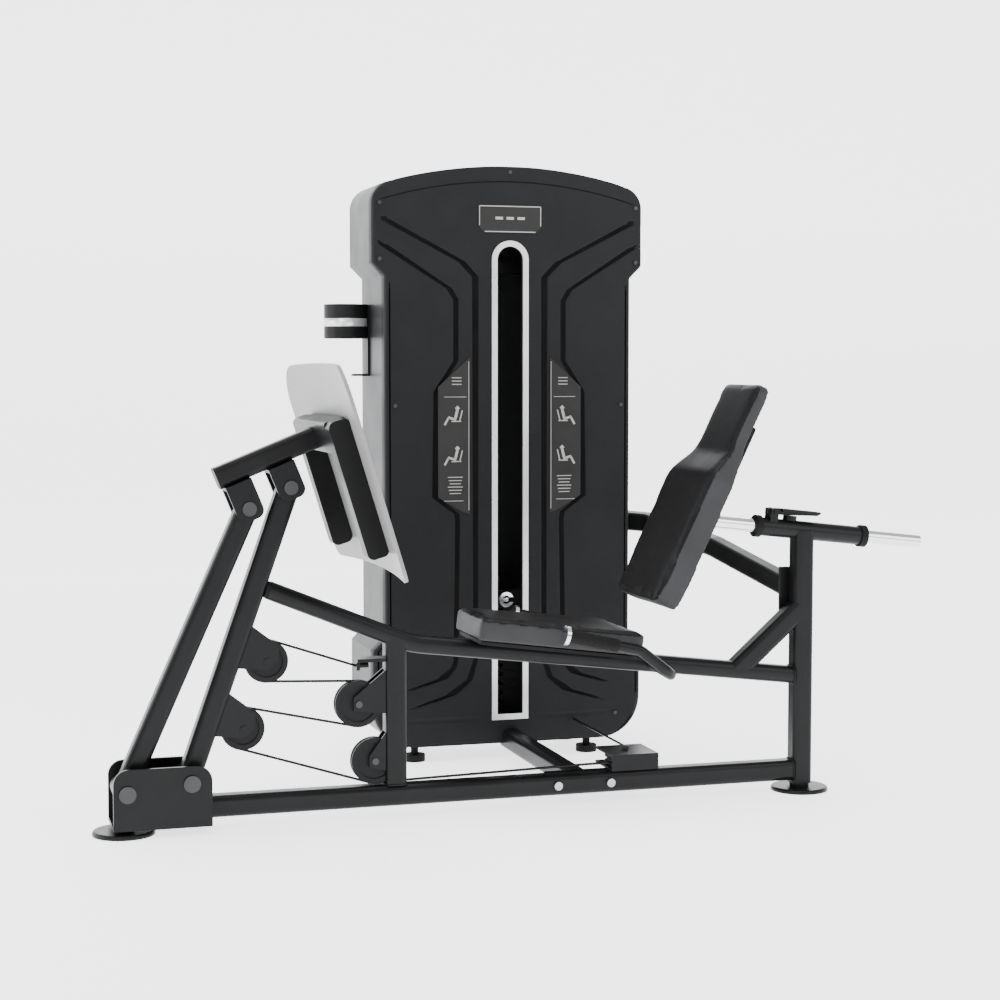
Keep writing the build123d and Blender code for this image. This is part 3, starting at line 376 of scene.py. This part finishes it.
def coverHalf(z):
    # half width of the cover at a height, with rounded corners at the head and the foot
    c = cover
    wide, narrow = c["headHalf"], c["bodyHalf"]
    half = np.interp(z, [c["bottom"], c["hip"][1], c["hip"][0], *c["shoulder"], c["top"]],
                     [wide, wide, narrow, narrow, wide, wide])
    low = np.clip((c["bottom"] + c["footRound"] - z) / c["footRound"], 0, 1)
    half = half - c["footRound"] * (1 - np.sqrt(np.clip(1 - low ** 2, 0, 1)))
    # the arched top: a circle through the two head corners and the top
    rise = c["top"] - c["headCorner"]
    arch = (c["headHalf"] ** 2 + rise ** 2) / (2 * rise)
    archHalf = np.sqrt(np.clip(arch ** 2 - (z - (c["top"] - arch)) ** 2, 0, None))
    roundStart = c["headCorner"] - c["topRound"] * 0.72
    t = np.clip((z - roundStart) / (c["topRound"] * 0.95), 0, 1)
    corner = c["headHalf"] - c["topRound"] * (1 - np.sqrt(np.clip(1 - t ** 2, 0, 1)))
    return np.where(z > roundStart, np.minimum(np.minimum(half, corner) + 0 * z, archHalf), half)


def slotEdge(z):
    # half width of the slot at a height: straight sides under a half-round top, and 0 outside it
    c = cover
    centre = c["slotTop"] - c["slotHalf"]
    cap = np.sqrt(np.clip(c["slotHalf"] ** 2 - (z - centre) ** 2, 0, None))
    edge = np.where(z > centre, cap, c["slotHalf"])
    return np.where((z < c["slotLow"]) | (z > c["slotTop"]), 0.0, edge)


def buildCover():
    # a depth field: each row at one height, columns that follow the grooves, and a depth for each point
    # that adds the groove profiles, the rounded edge and a crown growing with the distance squared
    c = cover
    # rows: even steps, with extra rows near the top, the foot and the slot's two ends
    z = np.arange(c["bottom"], c["top"], c["rowStep"])
    near = np.array([0, 0.0002, 0.0008, 0.002, 0.004, 0.007])
    bends = [p[1] for line in grooveLines.values() for p in line]
    z = np.concatenate([z, c["bottom"] + near, c["top"] - near, c["slotTop"] - near, c["slotTop"] + near[:2],
                        [c["slotLow"] - 0.0002, c["slotLow"]], bends, [c["headCorner"]]])
    z = np.unique(np.round(z, 5))
    z = z[(z >= c["bottom"]) & (z <= c["top"])]
    outer = coverHalf(z)
    inner = slotEdge(z)
    edgeGuide = np.maximum(outer - 0.0135, inner + (outer - inner) * 0.9)
    sideFade = np.clip((z - 0.05) / 0.05, 0, 1) * np.clip((c["shoulder"][0] - 0.01 - z) / 0.03, 0, 1)
    guides, fades, wides, deeps = [], [], [], []
    share = {"outer": 0.88, "inner": 0.955}
    for name in ("outer", "inner"):
        line = np.array(grooveLines[name])
        x = np.interp(z, line[:, 1], line[:, 0])
        slope = np.interp(z, line[:, 1], np.hypot(np.gradient(line[:, 0], line[:, 1]), 1))
        low, high = line[0, 1], line[-1, 1]
        fade = np.clip((z - low) / 0.012, 0, 1) * np.clip((high - z) / 0.012, 0, 1)
        # past its ends a guide drifts to its share of the width, so that the columns never cross
        rest = inner + (outer - inner) * share[name]
        drift = np.clip(np.maximum((low - z) / 0.05, (z - high) / 0.06), 0, 1)
        drift = drift * drift * (3 - 2 * drift)
        x = x * (1 - drift) + rest * drift
        guides.append(x)
        fades.append(fade)
        wides.append(c["grooveWide"] * np.clip(slope, 1, 2.2))
        deeps.append(c["grooveDeep"])
    guides.append(edgeGuide)
    fades.append(sideFade)
    wides.append(np.full_like(z, 0.004))
    deeps.append(0.006)
    # neither groove may pass the edge, and the outer one stays inside the inner one's guide
    guides[1] = np.minimum(guides[1], np.maximum(outer - 0.018, inner + (outer - inner) * 0.7))
    guides[0] = np.minimum(guides[0], np.maximum(guides[1] - 0.014, inner + (outer - inner) * 0.5))
    columns, heights = [], []
    profile = np.array([-1.6, -1.0, -0.6, -0.25, 0.25, 0.6, 1.0, 1.6])
    dip = np.array([0, 0, 0.75, 1, 1, 0.75, 0, 0])
    last = inner
    for guide, fade, wide, deep in zip(guides, fades, wides, deeps):
        room = np.minimum(guide - last, 0.5 * (outer - guide) + 0.02)
        wide = np.minimum(wide, np.clip(room, 0, None) * 0.45)
        # and it stays clear of the rounded edge
        wide = np.minimum(wide, np.clip(outer - 0.010 - guide, 0.0005, None) / 1.6)
        start = guide + profile[0] * wide
        for t in np.linspace(0, 1, 9)[:-1]:
            columns.append(last + (start - last) * t)
            heights.append(np.zeros_like(z))
        for p, h in zip(profile, dip):
            columns.append(guide + p * wide)
            heights.append(h * deep * fade)
        last = guide + profile[-1] * wide
    flatEnd = np.maximum(outer - c["edgeRound"] * np.clip(outer / 0.02, 0, 1), last + (outer - last) * 0.2)
    for t in (0.33, 0.66):
        columns.append(last + (flatEnd - last) * t)
        heights.append(np.zeros_like(z))
    # the edge: a quarter round from the face to the side, then straight back
    for a in np.linspace(0, np.pi / 2, 7):
        columns.append(flatEnd + (outer - flatEnd) * np.sin(a))
        heights.append(np.full_like(z, c["edgeRound"] * (1 - np.cos(a))))
    columns.append(outer)
    heights.append(np.full_like(z, c["depth"]))
    x = np.stack(columns, 1)
    x = np.minimum(np.maximum.accumulate(x, 1), outer[:, None])
    depth = np.stack(heights, 1)
    # the top and foot edges roll over too
    fromTop = np.clip((z - (c["top"] - 0.007)) / 0.007, 0, 1)
    depth = np.maximum(depth, (0.007 * (1 - np.sqrt(1 - fromTop ** 2)))[:, None])
    footGroove = np.exp(-((z[:, None] - c["footLine"]) / c["footLineWide"]) ** 2) * c["footLineDeep"]
    footGroove = footGroove * (x < c["footLineTo"]) * (x > c["footLineFrom"])
    depth = depth + footGroove * (depth < 0.001)
    depth = depth + c["crown"] * (x / c["headHalf"]) ** 2
    depth = np.minimum(depth, c["depth"])
    # one more row closes the foot back to the rear cover
    x = np.vstack([x[:1], x])
    depth = np.vstack([np.full((1, x.shape[1]), c["depth"]), depth])
    z = np.concatenate([z[:1], z])
    inner = np.concatenate([inner[:1], inner])
    right = np.stack([towerX + x, coverFace + depth, np.broadcast_to(z[:, None], x.shape)], -1)
    left = right * np.array([-1, 1, 1]) + np.array([2 * towerX, 0, 0])
    faces = gridFaces(*x.shape)
    # over the slot the inner column is its lip, turned inwards
    lipRows = inner > 0
    sets = []
    for points, flip in ((right, False), (left, True)):
        f = faces[:, ::-1] if flip else faces
        sets.append((points.reshape(-1, 3), f))
        rows = points[lipRows][:, 0]
        lipPoints = np.concatenate([rows, rows + np.array([0, c["lipDeep"], 0])])
        n = len(rows)
        i = np.arange(n - 1)
        lipFaces = np.stack([i, i + n, i + n + 1, i + 1], -1)
        sets.append((lipPoints, lipFaces if flip else lipFaces[:, ::-1]))
    points, faces = joinSets(sets)
    piece = addMesh("towerFront", points, faces, "coverPlastic", "frame", ["front_cover"], "cover_plastic")
    fixNormals(piece, 0.00005)
    # the bottoms of the grooves are painted darker as the shade in those recesses: faces that lie behind the
    # crowned face
    mesh = piece.data
    mesh.materials.append(materials["groovePaintedShade"])
    co = readPoints(mesh)
    across = np.abs(co[:, 0] - towerX)
    behind = co[:, 1] - coverFace - c["crown"] * (across / c["headHalf"]) ** 2
    faceX, faceZ = faceMeans(mesh, across), faceMeans(mesh, co[:, 2])
    inside = (faceX < coverHalf(faceZ) - c["darkEdge"]) & (faceX > slotEdge(faceZ) + c["darkSlot"])
    inside = inside & (faceZ < c["top"] - c["darkTop"])
    dark = (faceMeans(mesh, behind) > c["darkBelow"]) & inside
    mesh.polygons.foreach_set("material_index", dark.astype(np.int32))


topSeam = dict(reach=0.350, inset=0.040, half=0.0017, rise=0.0004)


def buildTopSeam():
    # a fine seam that follows the arched top, painted dark as the shade in a recessed seam: a low half-round
    # profile along a circle's arc
    c = cover
    rise = c["top"] - c["headCorner"]
    radius = (c["headHalf"] ** 2 + rise ** 2) / (2 * rise)
    middleZ = c["top"] - radius
    reach = math.asin(topSeam["reach"] / (radius - topSeam["inset"]))
    turn = np.linspace(-reach, reach, 120)
    across = np.linspace(0, 2 * np.pi, 10, endpoint=False)
    taper = np.clip((reach - np.abs(turn)) / 0.01, 0.05, 1)[:, None]
    r = radius - topSeam["inset"] + topSeam["half"] * np.cos(across)[None, :] * taper
    x = r * np.sin(turn)[:, None]
    y = coverFace + c["crown"] * (x / c["headHalf"]) ** 2 - topSeam["rise"] * np.sin(across)[None, :]
    points = np.stack([towerX + x, y, middleZ + r * np.cos(turn)[:, None]], -1).reshape(-1, 3)
    piece = addMesh("topSeam", points, gridFaces(len(turn), 10, wrapColumns=True), "groovePaintedShade", "frame",
                    slotName="cover_plastic")
    fixNormals(piece)


buildCover()
buildTopSeam()
print("tower front done")

# Placard prints: plain pictograms as thin raised shapes
placardLow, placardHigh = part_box("placards")


def flatBoxes(rects, face, thick):
    # rects are (middle x, middle z, half width, half height, turn) on the tower's front
    rects = np.asarray(rects, float)
    corner = np.array([(-1, -1), (1, -1), (1, 1), (-1, 1)], float)
    turn = rects[:, 4]
    local = corner[None] * rects[:, None, 2:4]
    x = rects[:, None, 0] + local[..., 0] * np.cos(turn)[:, None] - local[..., 1] * np.sin(turn)[:, None]
    z = rects[:, None, 1] + local[..., 0] * np.sin(turn)[:, None] + local[..., 1] * np.cos(turn)[:, None]
    front = np.stack([x, np.full_like(x, face), z], -1)
    back = front + np.array([0, thick, 0])
    points = np.concatenate([front, back], 1).reshape(-1, 3)
    base = (np.arange(len(rects)) * 8)[:, None, None]
    box = np.array([(0, 1, 2, 3), (4, 7, 6, 5), (0, 4, 5, 1), (1, 5, 6, 2), (2, 6, 7, 3), (3, 7, 4, 0)])
    return points, (base + box[None]).reshape(-1, 4)


# heights of the placards' marks are above the placards' foot, those of the name plate's are below its top
prints = dict(
    lineHalf=0.020, lineThick=0.0011, lineStep=0.0085, lines=6, figureSize=0.030, lift=0.0004, thick=0.0012,
    middle=0.150, figures=(0.250, 0.145), text=0.097, heading=0.357, rule=0.307, foot=0.035, ruleThick=0.0007,
    border=0.205, borderOut=0.113, borderHalf=0.195,
    plateTop=0.003, plateMiddle=0.028, plateFoot=0.069, plateHalf=0.0835, bars=0.034, barStep=0.030,
)


def placardMarks():
    p = prints
    rects = []
    foot, top = placardLow.z, placardHigh.z
    thin = p["ruleThick"]
    for sideSign in (-1, 1):
        middle = towerX + sideSign * p["middle"]
        # a seated figure in the upper half and another in the lower half: head, trunk, thigh, shin and seat
        for z in (foot + height for height in p["figures"]):
            s = p["figureSize"]
            rects += [(middle - 0.2 * s * sideSign, z + 0.92 * s, 0.16 * s, 0.16 * s, 0.78),
                      (middle - 0.1 * s * sideSign, z + 0.38 * s, 0.12 * s, 0.42 * s, 0.25 * sideSign),
                      (middle + 0.28 * s * sideSign, z + 0.02 * s, 0.38 * s, 0.10 * s, 0.3 * sideSign),
                      (middle + 0.78 * s * sideSign, z - 0.22 * s, 0.09 * s, 0.36 * s, 0.5 * sideSign),
                      (middle - 0.1 * s * sideSign, z - 0.22 * s, 0.44 * s, 0.05 * s, 0),
                      (middle - 0.52 * s * sideSign, z + 0.25 * s, 0.05 * s, 0.5 * s, 0.25 * sideSign)]
        for k in range(p["lines"]):
            half = p["lineHalf"] * (1 - 0.12 * (k % 3))
            rects.append((middle, foot + p["text"] - k * p["lineStep"], half, p["lineThick"], 0))
        for k in range(3):
            z = foot + p["heading"] - k * p["lineStep"]
            rects.append((middle - 0.004 * sideSign, z, 0.013, p["lineThick"], 0))
        # a thin rule under the heading
        rects.append((middle, foot + p["rule"], 0.030, thin, 0))
        # a thin border down the long inner edge and a bar near the foot
        rects.append((towerX + sideSign * p["borderOut"], foot + p["border"], thin, p["borderHalf"], 0))
        rects.append((middle + 0.004 * sideSign, foot + p["foot"], 0.026, thin, 0))
        # plain mark on the name plate: the upright light edges
        rects.append((towerX + sideSign * p["plateHalf"], top - p["plateMiddle"], 0.0011, 0.025, 0))
    # its level edges and three short bars
    rects += [(towerX, top - p["plateTop"], 0.083, 0.0012, 0),
              (towerX, top - p["plateFoot"], 0.069, 0.0012, 0)]
    rects += [(towerX + k * p["barStep"], top - p["bars"], 0.010, 0.0035, 0) for k in (-1, 0, 1)]
    points, faces = flatBoxes(rects, placardLow.y - p["lift"], p["thick"])
    addMesh("placardPrints", points, faces, "print", "frame", slotName="placard", smooth=False)


placardMarks()
print("placards done")

# Pads: foam blown up against its cover, with seams
pads = {
    "seatPad": dict(node="seat_pad", body="frame", voxel=0.0055, pressure=4.0, cap=0.007, shrink=0.0025,
                    normal=(0.118, 0.0, 0.993)),
    "backPad": dict(node="back_pad", body="backrest", voxel=0.006, pressure=4.0, cap=0.006, shrink=0.0025,
                    normal=(-0.9026, 0.0, 0.4305)),
}


# where the top cover meets the side band, which is painted lighter as if lit: how far a point still faces up, the
# groove's softness and depth
seam = dict(at=0.42, soft=0.12, deep=0.0016)


def puffPad(name, d):
    cad = nodes[d["node"]]
    mesh = cad.data.copy()
    piece = bpy.data.objects.new(name, mesh)
    bpy.context.scene.collection.objects.link(piece)
    bpy.context.view_layer.objects.active = piece
    for other in bpy.context.selected_objects:
        other.select_set(False)
    piece.select_set(True)
    axis = np.array(d["normal"]) / np.linalg.norm(d["normal"])
    remesh = piece.modifiers.new("remesh", "REMESH")
    remesh.mode = "VOXEL"
    remesh.voxel_size = d["voxel"]
    bpy.ops.object.modifier_apply(modifier=remesh.name)
    count = len(mesh.vertices)
    mesh = piece.data
    start = readPoints(mesh) - readPoints(mesh, "normal") * d["shrink"]
    mesh.vertices.foreach_set("co", start.reshape(-1))
    mesh.update()
    cloth = piece.modifiers.new("cloth", "CLOTH")
    cloth.settings.quality = 5
    cloth.settings.mass = 0.3
    cloth.settings.use_pressure = True
    cloth.settings.uniform_pressure_force = d["pressure"]
    cloth.settings.effector_weights.gravity = 0
    cloth.point_cache.frame_start = 1
    cloth.point_cache.frame_end = 20
    for step in range(1, 21):
        bpy.context.scene.frame_set(step)
    moved = piece.evaluated_get(bpy.context.evaluated_depsgraph_get()).data
    after = readPoints(moved)
    piece.modifiers.clear()
    bpy.context.scene.frame_set(1)
    shift = after - start
    far = np.linalg.norm(shift, axis=1)[:, None]
    shift = shift * np.minimum(1, d["cap"] / np.maximum(far, 1e-9))
    # the back face rests on its board and stays flat
    level = start @ axis
    span = level.max() - level.min()
    lower = (level - level.min()) / span
    shift = shift - np.clip((0.15 - lower) / 0.15, 0, 1)[:, None] * (shift @ axis)[:, None] * axis
    after = start + shift
    mesh.vertices.foreach_set("co", after.reshape(-1))
    mesh.update()
    bpy.context.scene.frame_set(1)
    smooth = piece.modifiers.new("rounder", "SUBSURF")
    smooth.levels = smooth.render_levels = 1
    bpy.ops.object.modifier_apply(modifier=smooth.name)
    mesh = piece.data
    points, normals = readPoints(mesh), readPoints(mesh, "normal")
    facing = normals @ axis
    mesh.materials.clear()
    mesh.materials.append(materials["padTop"])
    mesh.materials.append(materials["padSidePaintedLight"])
    # faces turned away from the top take the lighter side finish: painted light standing for the lit sides
    side = faceMeans(mesh, facing) <= seam["at"]
    mesh.polygons.foreach_set("material_index", side.astype(np.int32))
    mesh.polygons.foreach_set("use_smooth", np.ones(len(mesh.polygons), bool))
    # the seam line: points whose facing is near the border between the dark top and the side painted lighter as
    # lit sink a little
    sink = np.exp(-((facing - seam["at"]) / seam["soft"]) ** 2) * seam["deep"]
    points = points - normals * sink[:, None]
    mesh.vertices.foreach_set("co", points.reshape(-1))
    mesh.update()
    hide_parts(d["node"])
    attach(piece, d["body"])
    print(name, count, len(mesh.vertices))


for padName, padValues in pads.items():
    puffPad(padName, padValues)
print("pads done")


# Cable runs: each moving run is one straight cable, stretched between its two ends
cables = dict(radius=0.003, around=12, step=0.02, endShare=0.02, stackRings=40, stackHold=0.01)


def buildRun(number):
    # a straight tube from the root's near end, twice as long as the root's own half run
    rootName = f"cable_run_{number}_root"
    axis = np.array(joints[f"run_{number}_stretch"]["axis"], float)
    points = np.array([v.co for v in nodes[rootName].data.vertices], float)
    reach = points @ axis
    # both ends of the straight part lie on one line: the middle of each end ring
    start = points[reach < reach.min() + 1e-4].mean(0)
    middle = points[reach > reach.max() - 1e-4].mean(0)
    end = start + (middle - start) * 2
    count = int(np.linalg.norm(end - start) / cables["step"]) + 2
    path = start + (end - start) * np.linspace(0, 1, count)[:, None]
    p, f = tubeAlong(path, cables["radius"], cables["around"])
    piece = addPolys(f"cableRun{number}", p, f, "cable", slotName="cable")
    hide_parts(rootName)
    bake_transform(piece)
    return start, end


runEnds = {n: buildRun(n) for n in "1234"}


def buildWrap(number, pulley, firstRun, lastRun):
    # a tube along the circle's arc round the pulley, from one run's end to the other's
    low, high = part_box(pulley)
    centre = np.array((low + high) / 2)
    start, end = runEnds[firstRun][1], runEnds[lastRun][1]
    a = math.atan2(start[2] - centre[2], start[0] - centre[0])
    b = math.atan2(end[2] - centre[2], end[0] - centre[0])
    if b < a:
        b += 2 * math.pi
    radius = math.hypot(start[0] - centre[0], start[2] - centre[2])
    t = np.linspace(a, b, 36)
    path = np.stack([centre[0] + radius * np.cos(t), np.full_like(t, centre[1]),
                     centre[2] + radius * np.sin(t)], -1)
    p, f = tubeAlong(path, cables["radius"], cables["around"])
    addPolys(f"cableWrap{number}", p, f, "cable", "front_link", [f"cable_run_{number}_tip"], "cable")


buildWrap("2", "arm_pulley_high", "1", "2")
buildWrap("3", "arm_pulley_low", "3", "4")
for tipNumber in "14":
    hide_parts(f"cable_run_{tipNumber}_tip")

# the cable above the stack, which shortens as the stack rises: here one straight tube of even rings along its box
low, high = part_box("stack_cable")
stackX, stackY = (low.x + high.x) / 2, (low.y + high.y) / 2
rings = cables["stackRings"]
stackPath = np.column_stack([np.full(rings, stackX), np.full(rings, stackY),
                             np.linspace(low.z, high.z, rings)])
stackPoints, stackFaces = tubeAlong(stackPath, cables["radius"], cables["around"])
stackCable = addPolys("stackCable", stackPoints, stackFaces, "cable", slotName="cable")
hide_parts("stack_cable")
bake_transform(stackCable)
print("cables done")

# Handle grips: ribbed rubber sleeves
grip = dict(
    ribs=22, ribHeight=0.0011, radius=0.0158, endRound=0.003,
    sink=0.0006, ribFade=0.06, endShare=0.02,
)


def buildGrips():
    # a sleeve along each handle's end, its radius a row of half sine waves between rounded ends
    points = np.array([v.co for v in nodes["handle_grips"].data.vertices], float)
    caps = np.array([v.co for v in nodes["grip_caps"].data.vertices], float)
    for index, sideSign in enumerate((-1, 1)):
        mine = points[points[:, 1] * sideSign > 0]
        cap = caps[caps[:, 1] * sideSign > 0].mean(0)
        centre = mine.mean(0)
        axis = centre - cap
        axis /= np.linalg.norm(axis)
        reach = mine @ axis
        start = centre + axis * (reach.min() - centre @ axis)
        end = centre + axis * (reach.max() - centre @ axis)
        s = np.linspace(0, 1, 240)
        path = start + (end - start) * s[:, None]
        # radius: a sleeve with round ribs and rounded ends
        ribs = np.maximum(0, np.sin(s * grip["ribs"] * 2 * np.pi)) ** 0.7 * grip["ribHeight"]
        ribs = ribs * np.clip(np.minimum(s, 1 - s) / grip["ribFade"], 0, 1)
        ends = np.clip(np.minimum(s, 1 - s) / grip["endShare"], 0, 1)
        rounding = grip["endRound"] * (1 - np.sqrt(1 - (1 - ends) ** 2))
        radii = grip["radius"] - rounding + ribs - grip["sink"]
        p, f = tubeAlong(path, radii, 28)
        name = "handleGrip" + ("Near" if sideSign < 0 else "Far")
        addPolys(name, p, f, "rubber", "frame", ["handle_grips"] if index == 0 else (), "rubber")


buildGrips()
print("grips done")

# Weld beads where the frame's tubes meet
weld = dict(radius=0.0024, ripple=0.16, pitch=0.0042, corner=0.013, lift=0.0006, railHalf=0.021)


def beadLoop(centre, first, second, halfFirst, halfSecond):
    # a closed bead round a rounded rectangle: centre + first*a + second*b, its radius rippling along the way
    corner = weld["corner"]
    quarter = np.linspace(0, np.pi / 2, 7)
    outline = []
    for k, (sa, sb) in enumerate(((1, 1), (-1, 1), (-1, -1), (1, -1))):
        angle = quarter + k * np.pi / 2
        outline.append(np.column_stack([sa * (halfFirst - corner) + corner * np.cos(angle),
                                        sb * (halfSecond - corner) + corner * np.sin(angle)]))
    outline = np.concatenate(outline)
    closed = np.vstack([outline, outline[:1]])
    run = np.concatenate([[0], np.cumsum(np.linalg.norm(np.diff(closed, axis=0), axis=1))])
    count = int(run[-1] / (weld["pitch"] / 4))
    s = np.linspace(0, run[-1], count, endpoint=False)
    a, b = np.interp(s, run, closed[:, 0]), np.interp(s, run, closed[:, 1])
    first, second = np.array(first, float), np.array(second, float)
    normal = np.cross(first, second)
    path = np.array(centre) + a[:, None] * first + b[:, None] * second
    tangent = np.roll(path, -1, 0) - np.roll(path, 1, 0)
    tangent /= np.linalg.norm(tangent, axis=1)[:, None]
    out = np.cross(tangent, normal)
    turn = np.linspace(0, 2 * np.pi, 8, endpoint=False)
    radius = weld["radius"] * (1 + weld["ripple"] * np.sin(s / weld["pitch"] * 2 * np.pi))
    ring = np.cos(turn)[None, :, None] * out[:, None, :] + np.sin(turn)[None, :, None] * normal[None, None, :]
    points = (path[:, None, :] + radius[:, None, None] * ring).reshape(-1, 3)
    return points, gridFaces(count, 8, wrapColumns=True, wrapRows=True)


def buildWelds():
    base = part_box("base_tube")
    post, rear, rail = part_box("front_post"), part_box("rear_post"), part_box("seat_rail")
    half = (base[1].z - base[0].z) / 2
    railHalf, lift = weld["railHalf"], weld["lift"]
    beads = [
        beadLoop(((post[0].x + post[1].x) / 2, 0, base[1].z + lift), (1, 0, 0), (0, 1, 0), half, half),
        beadLoop((rear[0].x - lift, 0, (base[0].z + base[1].z) / 2), (0, 1, 0), (0, 0, 1), half, half),
        beadLoop((rear[0].x - lift, 0, rail[0].z + railHalf), (0, 1, 0), (0, 0, 1), half, railHalf),
    ]
    piece = addMesh("weldBeads", *joinSets(beads), "framePaint", "frame", slotName="frame_paint")
    fixNormals(piece)


buildWelds()

# Silver band round the bottle holder
band = dict(half=0.011, thick=0.0007, ring=0.058, below=0.048, gap=28, bevel=0.001, sink=0.0004)


def buildBand():
    # a bevelled profile carried round most of the ring's circle
    bandLow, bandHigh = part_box("bottle_holder")
    centre = (bandLow.x + band["ring"], (bandLow.y + bandHigh.y) / 2, bandHigh.z - band["below"])
    angle = np.linspace(np.radians(band["gap"]), np.radians(360 - band["gap"]), 90)
    flat = band["half"] - band["bevel"]
    profile = np.array([(-band["sink"], -band["half"]), (band["thick"], -flat), (band["thick"], flat),
                        (-band["sink"], band["half"])])
    r = band["ring"] + profile[None, :, 0]
    points = np.stack([centre[0] + r * np.cos(angle)[:, None], centre[1] + r * np.sin(angle)[:, None],
                       np.broadcast_to(centre[2] + profile[None, :, 1], (len(angle), 4))], -1).reshape(-1, 3)
    piece = addMesh("holderBand", points, gridFaces(len(angle), 4, wrapColumns=True), "trimSilver", "frame",
                    slotName="trim_silver")
    fixNormals(piece)


buildBand()
print("welds and band done")
